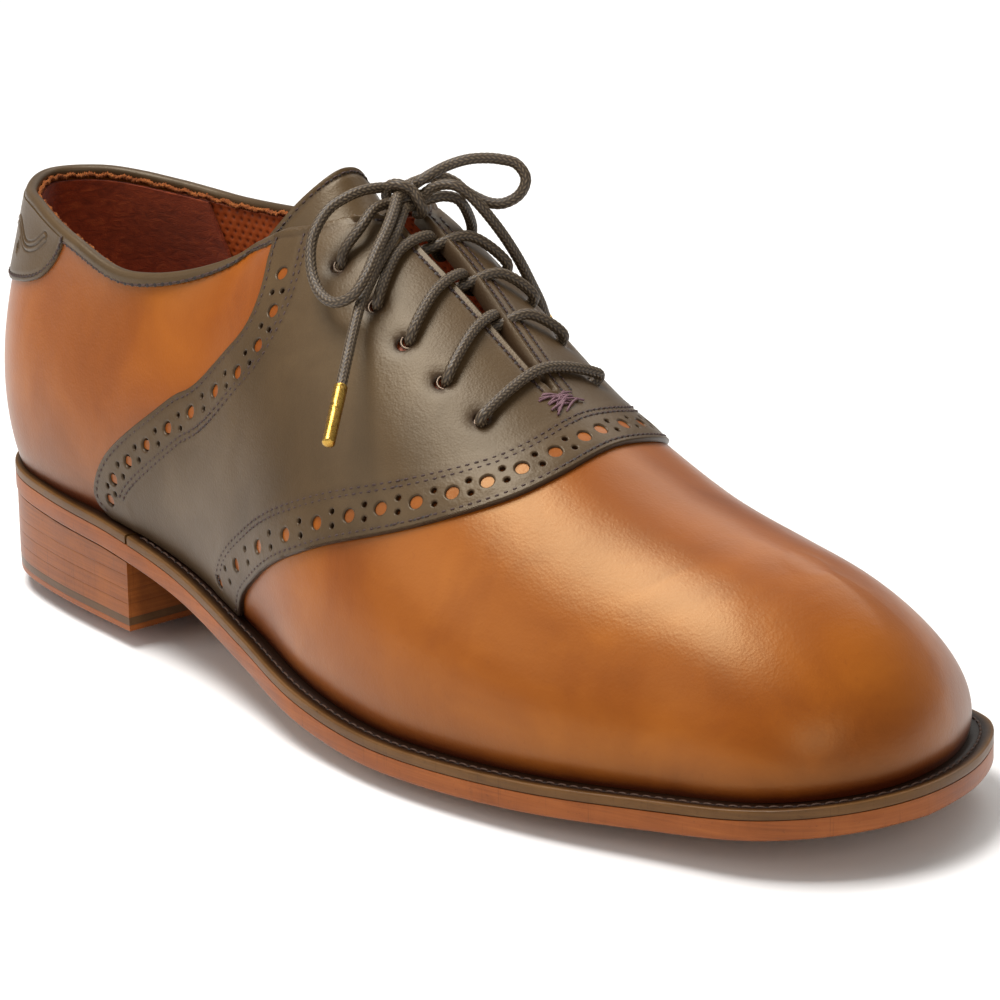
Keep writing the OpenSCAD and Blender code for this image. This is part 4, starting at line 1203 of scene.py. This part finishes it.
# The rolled edge's section: out from the tan leather, up from the top edge
BINDING = catmull([
    (0.02, -2.0), (0.45, -1.95), (0.66, -1.6), (0.78, -0.8), (0.80, 0.0), (0.58, 0.7), (0.05, 1.18),
    (-0.7, 1.36), (-1.4, 1.26), (-1.95, 0.8), (-2.15, 0.1), (-2.1, -0.55), (-1.8, -0.7), (-1.1, -0.85),
    (-0.6, -1.5)], 0.22, closed=True)


def collar_row(height, distance):
    """A line round the collar, height mm above the top edge and distance mm out from the tan leather."""
    u = COLLAR_U % STATIONS
    p, n, up, scale = climb(u)
    if height > 0:
        return p + up * height + n * distance
    return off(u, top_v(u) + height / scale, np.zeros_like(u) + distance)


def build_collar():
    """Rolled binding, its stitching, and the raw edge of the lining rubbed fuzzy inside it."""
    rows = np.stack([collar_row(h, d) for d, h in BINDING], 1)
    wave = dents(rows.reshape(-1, 3), 7, 0.05).reshape(rows.shape[:2])
    n = climb(COLLAR_U % STATIONS)[1]
    rows = rows + n[:, None] * wave[..., None]
    # low: painted shade along the binding's lower edge and over its whole inner side.
    low = np.array([0.45 * bump(h + 1.8, 0.3) if d > -0.2 else 0.25 for d, h in BINDING])
    make("collar_binding", rows.reshape(-1, 3), loft_faces(*rows.shape[:2], flip=True), TAUPE,
         "taupe_leather", "collar_binding", sharp=0, burnish_and_shade=np.tile(low, len(rows)))
    sewing = Sewing()
    keep = np.abs(COLLAR_U) < SEWN_TO
    sewing.run(collar_row(-1.55, 0.68)[keep], n[keep], pitch=2.5, lift=0.02, hole_r=0.6)
    sewing.finish("collar", THREAD)
    count, sides = 900, 8
    u = np.linspace(-FRAYED_TO, FRAYED_TO, count)
    p, n, up, _ = climb(u % STATIONS)
    rng = np.random.default_rng(4)
    t = around(sides)[None, :, None]
    r = 0.5 + 0.2 * rng.standard_normal((count, sides)).clip(-1.3, 1.8)
    fall = 0.55 + 0.25 * np.sin(u * 21)[:, None] + 0.12 * rng.standard_normal((count, 1))
    centre = p - n * 2.75 - up * fall
    fuzz = centre[:, None] + r[..., None] * (np.cos(t) * n[:, None] + np.sin(t) * up[:, None])
    make("lining_raw_edge", fuzz.reshape(-1, 3), loft_faces(count, sides, flip=True), RAW_EDGE,
         "dark_lining", sharp=0)


TAB = soften(catmull([(0.0, 0.74), (0.35, 0.71), (0.75, 0.668), (1.2, 0.655), (1.65, 0.67), (2.1, 0.705),
                      (2.42, 0.755), (2.62, 0.82), (2.77, 0.90), (2.87, 0.985)], 0.01), 3)
TAB_TOP = 0.985
TAB_WAVE = catmull([(0.0, 0.885), (0.3, 0.865), (0.6, 0.845), (0.85, 0.850), (1.1, 0.875), (1.3, 0.895),
                    (1.55, 0.885), (1.9, 0.835), (2.2, 0.86), (2.45, 0.93)], 0.01)


def build_tab():
    """Lobed heel tab with a stitched border, two embossed waves and a diamond of tan on each side."""
    rows, columns = 90, 260
    u = np.linspace(-2.88, 2.88, columns)
    low = np.interp(np.abs(u), TAB[:, 0], TAB[:, 1])
    t = np.linspace(0, 1, rows)[None, :]
    v = low[:, None] * (1 - t) + TAB_TOP * t
    flat_u, flat_v = np.broadcast_to(u[:, None], v.shape).ravel() % STATIONS, v.ravel()
    base, n = surface(flat_u, flat_v), normal(flat_u, flat_v)
    to_line = lambda line: np.minimum(*[distances(base, off(s * line[:, 0] % STATIONS, line[:, 1],
                                                            np.zeros(len(line)))) for s in (1, -1)])
    at_edge, wave = to_line(TAB), to_line(TAB_WAVE)
    rel = [base - at(s * 1.62 % STATIONS, 0.80, 0.0) for s in (1, -1)]
    spot = np.minimum(*[np.linalg.norm(q[:, :2], axis=1) / 1.15 + np.abs(q[:, 2]) / 2.6 for q in rel])
    high = 1.05 + dents(base, 12, 0.05) - round_off(at_edge, 0.6)
    high -= 0.28 * bump(wave, 0.2) - 0.2 * bump(wave - 0.65, 0.35) + 0.22 * bump(wave - 1.3, 0.2)
    high -= 0.15 * bump(at_edge - 1.5, 0.5)
    hole = smooth((1.0 - spot) / 0.25)
    high = high * (1 - hole) + 0.08 * hole + 0.18 * bump(spot - 1.35, 0.25)
    # dark: the cut edges, round the tan diamonds too, and painted shade in the embossed waves.
    dark = 0.5 * bump(at_edge, 0.5) + 0.8 * bump(wave, 0.22) + 0.6 * bump(wave - 1.3, 0.22)
    dark += 0.6 * bump(spot - 1.05, 0.15)
    outer, inner = ((base + n * d).reshape(columns, rows, 3) for d in (high[:, None], 0.05))
    points, faces = shell(outer, inner)
    obj = make("heel_tab", points, faces, TAUPE, "taupe_leather", "heel_tab", sharp=50,
               burnish_and_shade=np.concatenate([dark, dark * 0]))
    obj.data.materials.append(TAN)
    tan_spot = np.concatenate([hole > 0.5, np.zeros(len(hole), bool)])
    for poly in obj.data.polygons:
        if all(tan_spot[i] for i in poly.vertices):
            poly.material_index = 1
    whole = np.concatenate([TAB[::-1] * (-1, 1), TAB[1:]])
    line_u, line_v = whole[:, 0] % STATIONS, whole[:, 1]
    sewing = Sewing()
    sewing.run(off(line_u, line_v + 0.018, np.full(len(whole), 1.0)), normal(line_u, line_v), pitch=1.9)
    sewing.finish("heel_tab", THREAD)


# ---------------------------------------------------------------- linings and tongue


DIMPLE_PITCH, DIMPLE_ROW = 2.9, 0.62      # mm along a row, and the rows' distance as a share of it


def build_linings():
    """Suede heel grip, and dimpled linings behind the quarters."""
    rows = np.linspace(0, 0.972, 60)
    grip = lambda v: 2.48 + 1.2 * (1 - v)
    panel("heel_grip", lambda v: -grip(v), grip, rows, 120, -2.5, -3.5, SUEDE, "dark_lining", rough=0.25)
    for name, lo, hi in (("lateral", 2.0, 6.52), ("medial", STATIONS - 6.52, STATIONS - 2.0)):
        u = np.broadcast_to((lo + (hi - lo) * np.linspace(0, 1, 300))[:, None], (300, 200))
        v = np.broadcast_to(np.linspace(0.02, 0.972, 200)[None, :], u.shape) * top_v(u)
        base, n = surface(u.ravel(), v.ravel()), normal(u.ravel(), v.ravel())
        along, up = base[:, 0] / DIMPLE_PITCH, base[:, 2] / (DIMPLE_PITCH * DIMPLE_ROW)
        shift = (np.floor(up) % 2) * 0.5
        fx, fy = (along + shift) % 1 - 0.5, up % 1 - 0.5
        dot = np.exp(-((fx * DIMPLE_PITCH) ** 2 + (fy * DIMPLE_PITCH * DIMPLE_ROW) ** 2) / 0.22)
        d_in = -2.2 + 0.32 * dot + dents(base, 18, 0.15)
        outer, inner = ((base + n * d).reshape(*u.shape, 3) for d in (-1.35, d_in[:, None]))
        points, faces = shell(outer, inner)
        # The dimples carry painted shade.
        make("quarter_lining_" + name, points, faces, DIMPLED, "tan_lining", "quarter_lining_" + name,
             sharp=0, burnish_and_shade=np.concatenate([dot * 0, 0.9 * dot]))


TONGUE = np.array([  # x, y, z, half width, fall at the sides, pull back at the sides
    (194, -1, 68, 11, 4, 0), (180, -0.5, 73.5, 13, 5, 0), (165, 0.5, 79.5, 15, 7, 0), (150, 2, 87, 17, 9, 1),
    (135, 3, 95.5, 18.5, 12, 3), (121, 4.5, 105, 19, 15.5, 8), (111, 6, 115, 17, 19.5, 13.5)], float)


def build_tongue():
    """Padded-edge tongue with its lining and a stitched border."""
    curve = catmull(TONGUE, 0.6)
    length = run_length(curve[:, :3])
    to_tip = length[-1] - length
    half = 60                                 # columns on each side of the middle
    a = np.linspace(-1, 1, 2 * half + 1)
    far = np.interp(length / length[-1], [0, 0.6, 1], [1, 0.9, 0.55])
    across = np.where(a[None, :] > 0, a[None, :] * far[:, None], a[None, :])
    s = curve[:, None, :]
    mid = np.stack([s[..., 0] - s[..., 5] * across ** 2, s[..., 1] + s[..., 3] * across,
                    s[..., 2] - s[..., 4] * across ** 2], -1)
    n = unit(np.cross(np.gradient(mid, axis=0), np.gradient(mid, axis=1)))
    if n[len(n) // 2, half, 2] < 0:
        n = -n
    side_edge = (1 - np.abs(a))[None, :] * s[..., 3]
    at_edge = np.minimum(side_edge, to_tip[:, None] + 0 * side_edge)
    flat = mid.reshape(-1, 3)
    lift = dents(flat, 16, 0.18).reshape(at_edge.shape) - round_off(at_edge, 0.75)
    lift += 0.22 * bump(at_edge - 0.9, 0.8) - 0.25 * bump(at_edge - 2.1, 0.55)
    # dark: the cut edge, and painted shade in the stitched groove.
    dark = 0.55 * bump(at_edge, 0.6) + 0.4 * bump(at_edge - 2.1, 0.5)
    points, faces = shell(mid + n * lift[..., None], mid - n * 1.25)
    make("tongue", points, faces, TAUPE, "taupe_leather", "tongue", body="tongue", sharp=50,
         burnish_and_shade=np.concatenate([dark.ravel(), dark.ravel() * 0 + 0.2]))
    lining_in = mid - n * (2.3 + 0.12 * dents(flat, 9, 1).reshape(at_edge.shape))[..., None]
    points, faces = shell((mid - n * 1.3)[:, 2:-2], lining_in[:, 2:-2])
    make("tongue_lining", points, faces, SUEDE, "dark_lining", "tongue_lining", body="tongue", sharp=0)
    inset = 2.1
    stop = int(np.searchsorted(-to_tip, -inset))
    column = lambda i, sign: (sign * (1 - inset / curve[i, 3]) + 1) * half
    border = []
    for sign in (-1, 1):
        side = []
        for i in range(int(len(curve) * 0.35), stop):
            j = column(i, sign)
            k = int(np.clip(math.floor(j), 0, 2 * half - 1))
            w = j - k
            side.append(np.concatenate([mid[i, k] * (1 - w) + mid[i, k + 1] * w, n[i, k]]))
        border.append(np.array(side))
    k0, k1 = (int(round(column(stop, sign))) for sign in (-1, 1))
    top = np.concatenate([mid[stop, k0:k1 + 1], n[stop, k0:k1 + 1]], 1)
    loop = np.concatenate([border[0], top[2:-2], border[1][::-1]])
    sewing = Sewing()
    sewing.run(loop[:, :3] + loop[:, 3:] * -0.15, loop[:, 3:], pitch=2.4, hole_r=0.45)
    sewing.finish("tongue", THREAD, body="tongue")


def build_bar_tack():
    """Hand-worked tack at the foot of the facings: a fan of purplish threads."""
    thread = plain("tack_thread", [(0.11, 0.045, 0.062), (0.21, 0.11, 0.135)], 900, (0.5, 0.7), 4200, 0.5,
                   0.0003)
    centre = mid_top(8.12, 1.35)
    slope = -0.42                              # of the ridge there
    rng = np.random.default_rng(7)
    tack = Gathered()
    t = np.linspace(-1, 1, 9)[:, None]
    for k in range(16):
        y = rng.uniform(-1.6, 1.6)
        turn = 0.5 * PI + rng.uniform(-0.75, 0.75)
        half = rng.uniform(2.6, 4.6) if k < 10 else rng.uniform(4.2, 5.4)
        way = np.array([math.cos(turn), math.sin(turn), slope * math.cos(turn)])
        along = rng.uniform(-1.8, 1.8)
        base = centre + (along, y, slope * along)
        arch = np.array([0, 0, 1.0]) * (0.5 - 1.0 * t ** 2) * (0.8, 0.9)[k % 2]
        path = base + way * half * t * 0.85 + arch
        tack.add(*tube_mesh(path, np.full((9, 8), 0.26)))
    make("throat_bar_tack", tack.points, tack.faces, thread, "thread", "throat_bar_tack", sharp=0)


def build_eyelets():
    """Darkened rims where the lace goes through the facings."""
    metal = plain("eyelet_metal", [(0.10, 0.07, 0.05), (0.2, 0.15, 0.11)], 500, (0.35, 0.5), 2200, 0.2,
                  0.0002, metal=0.8)
    rims = Gathered()
    m, k, r = 28, 10, 0.32
    t, s = around(m)[:, None, None], around(k)[None, :, None]
    faces = [(j * k + q, (j + 1) % m * k + q, (j + 1) % m * k + (q + 1) % k, j * k + (q + 1) % k)
             for j in range(m) for q in range(k)]
    for side in (-1, 1):
        for i in range(len(EYELET_U)):
            u, v = eyelet_u(i, side), EYELET_V
            c, n = at(u, v, 0), normal(np.array([u]), np.array([v]))[0]
            a = unit(np.cross(n, (0, 0, 1.0)))
            way = np.cos(t) * a + np.sin(t) * np.cross(n, a)
            points = c + way * (2.0 + r * np.cos(s)) + n * (SADDLE_FACE - 1.1 + r * np.sin(s))
            rims.add(points.reshape(-1, 3), faces)
    make("eyelet_rims", rims.points, rims.faces, metal, "eyelet_metal", sharp=0)


build_collar()
build_tab()
build_linings()
build_tongue()
build_bar_tack()
build_eyelets()

# ---------------------------------------------------------------- sole and heel

BREAST_LATERAL, BREAST_MEDIAL = 4.2, 21.82      # stations where the heel's breast meets the edge
LIFT = 3.6


def layered(name, stops, dark, line=0.5):
    """Cut and polished leather edge: fine level grain, faint scratches, darker joints, and painted shade
    where the mesh marks it.
    """
    n = Nodes(name)
    cloud = n.noise(55, 4, 0.6, distort=0.5)
    grain = n.noise(1, 4, 0.65, n.mapping((34, 34, 1500)))
    scratch = n.noise(1, 2, 0.6, n.mapping((1500, 1500, 60)))
    base = n.ramp(n.blend(cloud, 0.55, grain),
                  *[(0.34 + 0.32 * i / (len(stops) - 1), c) for i, c in enumerate(stops)])
    base = n.mix(n.span(scratch, 0.62, 0.74, 0, line * 0.5), base, dark)
    base = n.mix(n.span(n.noise(1400, 2), 0.64, 0.76, 0, 0.35), base, dark)
    base = n.darken_by_burnish_and_shade(base, dark)
    n.set(Base_Color=base, Roughness=n.span(cloud, 0.3, 0.7, 0.30, 0.44), Coat_Weight=0.03,
          Coat_Roughness=0.3, Specular_IOR_Level=0.2)
    n.bumps((grain, 0.10, 0.0003), (scratch, 0.06, 0.0002), (n.noise(900, 3), 0.10, 0.0003))
    return n.mat


HEEL_LEATHER = layered("heel_leather", [(0.155, 0.042, 0.008), (0.22, 0.063, 0.012), (0.30, 0.092, 0.019)],
                       (0.05, 0.015, 0.006))
SOLE_EDGE = layered("sole_edge", [(0.18, 0.047, 0.008), (0.26, 0.071, 0.013), (0.34, 0.10, 0.020)],
                    (0.05, 0.014, 0.005))
WELT_EDGE = layered("welt_edge", [(0.085, 0.037, 0.009), (0.12, 0.054, 0.014), (0.155, 0.072, 0.020)],
                    (0.014, 0.005, 0.002))
RUBBER = layered("heel_rubber", [(0.075, 0.036, 0.014), (0.10, 0.050, 0.020), (0.13, 0.066, 0.027)],
                 (0.028, 0.012, 0.006), 0.2)
SOLE_FACE = plain("sole_face", [(0.20, 0.085, 0.035), (0.30, 0.14, 0.062), (0.38, 0.19, 0.09)], 45,
                  (0.42, 0.6), 700, 0.25, 0.0004)
WELT_THREAD = plain("welt_thread", [(0.040, 0.016, 0.008), (0.075, 0.033, 0.016)], 900, (0.6, 0.75), 4200,
                    0.4, 0.0003)


def build_welt():
    """Welt round the forefoot and rand round the heel: one polished edge, a dark top, a stitched groove."""
    profile = [(13, 4.95), (0.15, 4.86), (0.03, 4.93), (0.0, 5.15), (0.0, 6.6), (0.06, 6.9), (0.28, 7.06),
               (0.7, 7.1), (1.6, 7.1), (2.3, 7.06), (2.75, 6.86), (3.2, 6.86), (3.6, 7.04), (4.4, 7.1),
               (7, 7.08), (13, 7.05)]
    dark = [0, 0.6, 0.3, 0.05, 0.0, 0.0, -0.35, 0.45, 0.9, 1, 1, 1, 1, 1, 1, 1]
    for name, lo, hi, groove in (("welt", BREAST_LATERAL + 0.03, BREAST_MEDIAL - 0.03, True),
                                 ("heel_rand", BREAST_MEDIAL - STATIONS, BREAST_LATERAL, False)):
        u = np.linspace(lo, hi, int((hi - lo) * 40))
        rows = np.stack([rim(u % STATIONS, np.full(len(u), float(inset)),
                             z if groove or not 2 < inset < 4 else STACK) for inset, z in profile], 1)
        rows[..., 2] += dents(rows.reshape(-1, 3), 30, 0.05).reshape(rows.shape[:2])
        make(name, rows.reshape(-1, 3), loft_faces(*rows.shape[:2]), WELT_EDGE, "welt_leather", name,
             sharp=45, burnish_and_shade=np.tile(dark, len(u)))
    u = np.linspace(BREAST_LATERAL + 0.1, BREAST_MEDIAL - 0.1, 2400)
    sewing = Sewing()
    sewing.run(rim(u, np.full(len(u), 2.97), 6.95), np.tile((0, 0, 1.0), (len(u), 1)), pitch=3.0, gauge=0.30,
               lift=0.12, fill=0.8)
    sewing.finish("welt", WELT_THREAD)


def build_outsole():
    """Outsole from heel to toe: two edges with their profile, and a slightly hollow underside between."""
    side = [(9, 4.62), (0.2, 4.74), (0.04, 4.68), (0.0, 4.45), (0.0, 0.75), (0.12, 0.35), (0.5, 0.06),
            (1.2, 0.0), (3.2, 0.0), (3.7, 0.22), (4.1, 0.22), (4.6, 0.0)]
    dark = [0, 0.4, 0.15, 0, 0.05, 0.25, 0.5, 0.2, 0.1, 0.7, 0.7, 0.1]
    u = np.concatenate([np.linspace(0.015, 1, 50), np.linspace(1, 12, 220)[1:],
                        np.linspace(12, 12.998, 60)[1:]])
    half = periodic(u)[:, 1] - periodic(STATIONS - u)[:, 1]
    room = np.minimum(1, np.abs(half) / 2 / 9.3)      # narrows the profile at the heel's and the toe's tip
    left, right = (np.stack([rim(line, i * room, z) for i, z in side], 1) for line in (u, STATIONS - u))
    t = np.linspace(0, 1, 26)[1:-1]
    across = left[:, -1:] * (1 - t)[None, :, None] + right[:, -1:] * t[None, :, None]
    across[..., 2] = sole_z(across[..., 0]) + 0.10 * np.sin(PI * t)[None, :]
    rows = np.concatenate([left, across, right[:, ::-1]], 1)
    n, m = rows.shape[:2]
    value = np.concatenate([dark, np.full(len(t), 0.05), dark[::-1]])
    obj = make("outsole", rows.reshape(-1, 3), loft_faces(n, m, flip=True), SOLE_EDGE, "sole_leather",
               "outsole", sharp=40, burnish_and_shade=np.tile(value, n))
    obj.data.materials.append(SOLE_FACE)
    for poly in obj.data.polygons:
        if len(poly.vertices) == 4 and all(7 <= i % m <= m - 8 for i in poly.vertices):
            poly.material_index = 1


ROUND_BACK, BREAST_STEPS = 230, 34      # points round the heel's back, and straight across its breast
JOINT = ((0.06, 0.0, 0.3), (0.02, 0.10, 0.1), (0.0, 0.34, 0.05), (0.0, 1.0, 0))     # inset, rise, darkness


def heel_loop(inset):
    """The heel's outline moved in by inset: round the back, then straight across the breast."""
    u = np.linspace(BREAST_MEDIAL - STATIONS, BREAST_LATERAL, ROUND_BACK)
    loop = rim(u % STATIONS, np.full(len(u), inset), 0.0)[:, :2]
    t = np.linspace(0, 1, BREAST_STEPS + 2)[1:-1, None]
    a, b = loop[-1], loop[0]
    back = np.array([max(inset - 0.3, 0) * 0.6, 0])
    return np.concatenate([loop, a * (1 - t) + b * t]) - back * (
        np.arange(ROUND_BACK + BREAST_STEPS)[:, None] >= ROUND_BACK - 2)


def heel_layer(name, inset, z0, top, mat, slot, phase):
    """One lift from z0 up to the height top(x): barely rounded, so the joints read as thin dark lines."""
    rings, dark = [], []
    sections = [(b, z0, w, d) for b, w, d in JOINT] + [(b, None, -w, d) for b, w, d in JOINT[::-1]]
    for b, foot, w, d in sections:
        xy = heel_loop(inset + b)
        base = top(xy[:, 0]) if foot is None else foot
        z = base + w * 0.6 + 0.04 * np.sin(xy[:, 0] * 0.31 + xy[:, 1] * 0.23 + phase) * (0 < abs(w) < 1)
        rings.append(np.column_stack([xy, z + 0 * xy[:, 0]]))
        dark.append(np.full(len(xy), d * 0.9))
    m = len(rings[0])
    # The breast, under the sole's waist, is painted darker: painted shade.
    breast = np.tile((np.arange(m) > ROUND_BACK) * 0.30, len(rings))
    make(name, np.concatenate(rings), loft_faces(len(rings), m), mat, slot, name, sharp=40,
         burnish_and_shade=np.concatenate(dark) + breast)


def build_heel():
    """Top piece, rubber band, three lifts of one height and the wedge under the sole."""
    level = lambda z: lambda x: z + 0 * x
    heel_layer("heel_top_piece", 0.45, 0.0, level(1.5), SOLE_EDGE, "heel_leather", 0)
    heel_layer("heel_rubber_band", 0.4, 1.5, level(3.5), RUBBER, "heel_rubber", 1)
    for k, place in enumerate(("lower", "middle", "upper")):
        heel_layer("heel_lift_" + place, 0.32, 3.5 + LIFT * k, level(3.5 + LIFT + LIFT * k), HEEL_LEATHER,
                   "heel_leather", 2 + k)
    heel_layer("heel_wedge", 0.32, 14.3, lambda x: sole_z(x) - 0.05, HEEL_LEATHER, "heel_leather", 6)


# ---------------------------------------------------------------- cleats and hidden parts

FOREFOOT_CLEATS = [(170, -24), (170, 20), (206, -29), (206, 31), (240, -20), (240, 34), (272, 10)]
HEEL_CLEATS = [(20, -13), (20, 13), (56, -19), (56, 19)]


CLEAT_PROFILE = [(0, 0.6), (6.0, 0.6), (6.0, -0.3), (9.3, -0.3), (9.5, -0.5), (9.42, -0.75), (8.3, -1.75),
                 (7.9, -2.0), (7.2, -2.08), (5.2, -1.7), (4.1, -1.75), (3.55, -2.1), (3.4, -3.3),
                 (3.1, -3.6), (2.2, -3.75), (1.9, -3.55), (1.5, -2.7), (0, -2.6)]
LEG = np.array([(4.6, -0.5, -1.5), (5.4, -0.2, -2.3), (5.9, 0, -3.2), (6.15, 0.1, -4.0), (6.2, 0.1, -4.38),
                (6.2, 0.1, -4.5)])      # out, sideways, up
RIB = np.array([(3.2, 0, -1.75), (8.3, 0, -1.6)])


def turned(profile, sides):
    """Closed solid of revolution about Z from (r, z) points that start and end on the axis."""
    points, faces = [(0, 0, profile[0][1])], []
    body = profile[1:-1]
    for r, z in body:
        points += [(r * math.cos(t), r * math.sin(t), z) for t in around(sides)]
    points.append((0, 0, profile[-1][1]))
    last = len(points) - 1
    for k in range(sides):
        q = (k + 1) % sides
        faces.append((0, 1 + q, 1 + k))
        for i in range(len(body) - 1):
            a = 1 + i * sides
            faces.append((a + k, a + q, a + sides + q, a + sides + k))
        a = 1 + (len(body) - 1) * sides
        faces.append((last, a + k, a + q))
    return np.array(points, float), faces


def spun(path, turn):
    """A path of (out, sideways, up) points, turned about Z."""
    way, side = (math.cos(turn), math.sin(turn), 0), (-math.sin(turn), math.cos(turn), 0)
    return path[:, :1] * way + path[:, 1:2] * side + path[:, 2:] * (0, 0, 1)


def cleat_shape():
    """Quarter-turn soft cleat: dished disc with a ribbed rim, six curved legs and a hollow hub."""
    cleat = Gathered()
    cleat.add(*turned(CLEAT_PROFILE, 72))
    for k in range(6):
        path = spun(LEG, PI * k / 3)
        path = np.concatenate([path[:1], catmull(path, 0.25)[1:]])
        r = np.interp(np.linspace(0, 1, len(path)), [0, 0.35, 0.8, 0.93, 1], [1.75, 1.5, 1.15, 0.95, 0.5])
        cleat.add(*tube_mesh(path, np.repeat(r[:, None], 18, 1)))
        rib_line = resample(spun(RIB, PI * k / 3 + PI / 6), 0.8)
        cleat.add(*tube_mesh(rib_line, np.full((len(rib_line), 10), 0.45)))
    return np.array(cleat.points), cleat.faces


def cleat_plastic():
    """Dark moulded urethane."""
    n = Nodes("cleat_plastic")
    cloud = n.noise(300, 3)
    n.set(Base_Color=n.ramp(cloud, (0.3, (0.055, 0.048, 0.042)), (0.7, (0.085, 0.075, 0.066))),
          Roughness=n.span(cloud, 0.3, 0.7, 0.32, 0.48))
    n.bumps((n.noise(2600, 3), 0.15, 0.0003))
    return n.mat


def build_cleats():
    plastic = cleat_plastic()
    points, faces = cleat_shape()
    slope = lambda x: float(sole_z(np.array(x + 1.0)) - sole_z(np.array(x - 1.0))) / 2
    places = [(x, y, float(sole_z(np.array(float(x)))), -math.atan(slope(x))) for x, y in FOREFOOT_CLEATS]
    places += [(x, y, 0.0, 0.0) for x, y in HEEL_CLEATS]
    for i, (x, y, z, tilt) in enumerate(places, 1):
        turn = np.array(Matrix.Rotation(tilt, 3, "Y"))
        make(f"cleat_{i}", points @ turn.T + (x, y, z), faces, plastic, "cleat_plastic", f"cleat_{i}",
             body=f"cleat_{i}", sharp=35)


def dress_hidden():
    """Procedural finishes for the CAD pieces that are shown as they are."""
    finish = {
        "vamp_lining": DIMPLED, "facing_stay_lateral": DIMPLED, "facing_stay_medial": DIMPLED,
        "toe_puff": SOLE_FACE, "heel_counter": SOLE_FACE, "sock_liner": SUEDE, "insole": SOLE_FACE,
        "cork_filler": plain("cork", [(0.12, 0.06, 0.03), (0.36, 0.21, 0.11), (0.5, 0.33, 0.19)], 520,
                             (0.8, 0.9), 1600, 0.7, 0.001),
        "steel_shank": plain("steel", [(0.42, 0.42, 0.43), (0.62, 0.62, 0.63)], 200, (0.28, 0.42), 1500, 0.1,
                             0.0002, metal=1.0),
        "eyelet_rings": plain("eyelet_back", [(0.20, 0.16, 0.13), (0.34, 0.28, 0.23)], 400, (0.35, 0.5), 1800,
                              0.2, 0.0002, metal=1.0),
        "forefoot_receptacles": plain("receptacle", [(0.10, 0.09, 0.08), (0.17, 0.155, 0.14)], 300,
                                      (0.45, 0.6), 1800, 0.2, 0.0003),
    }
    finish["heel_nails"] = finish["steel_shank"]
    finish["heel_receptacles"] = finish["forefoot_receptacles"]
    for node, mat in finish.items():
        obj = bpy.data.objects[node]
        obj.data.materials.clear()
        obj.data.materials.append(mat)


build_welt()
build_outsole()
build_heel()
build_cleats()
dress_hidden()

# ---------------------------------------------------------------- stage and light

STUDIO = (1.0, 0.97, 0.93)
LIGHTS = (      # name, place and target in metres, size, watts
    ("top", (-0.22, -0.24, 1.10), (0.02, 0, 0.04), (0.7, 0.5), 15),
    ("side", (-0.55, -1.15, 0.75), (0, 0, 0.04), (1.0, 0.8), 3.8),
    ("back", (-0.5, 1.0, 1.0), (-0.5, 0.9, 0), (1.2, 1.0), 7),
    ("front", (1.3, -0.6, 0.6), (0.05, 0, 0.05), (0.7, 0.7), 3.5))


def build_stage():
    """Pale floor, even surroundings and four soft lights."""
    n = Nodes("floor")
    n.set(Base_Color=n.ramp(n.noise(3, 2), (0.3, (0.93, 0.94, 0.96)), (0.7, (0.95, 0.96, 0.98))),
          Roughness=0.6)
    s = 3.0
    me = bpy.data.meshes.new("floor")
    me.from_pydata([(-s, -s, 0), (s, -s, 0), (s, s, 0), (-s, s, 0)], [], [(0, 1, 2, 3)])
    me.materials.append(n.mat)
    floor = bpy.data.objects.new("floor", me)
    bpy.context.scene.collection.objects.link(floor)
    world = bpy.data.worlds.new("studio")
    world.use_nodes = True
    world.node_tree.nodes["Background"].inputs["Color"].default_value = (1.0, 0.97, 0.92, 1)
    world.node_tree.nodes["Background"].inputs["Strength"].default_value = 0.32
    bpy.context.scene.world = world
    for name, place, target, size, power in LIGHTS:
        data = bpy.data.lights.new(name, "AREA")
        data.shape = "RECTANGLE"
        data.size, data.size_y = size
        data.energy = power
        data.color = STUDIO
        lamp = bpy.data.objects.new(name, data)
        lamp.location = place
        lamp.rotation_euler = (Vector(target) - Vector(place)).to_track_quat("-Z", "Y").to_euler()
        bpy.context.scene.collection.objects.link(lamp)
    bpy.context.scene.view_settings.view_transform = "Standard"


build_stage()
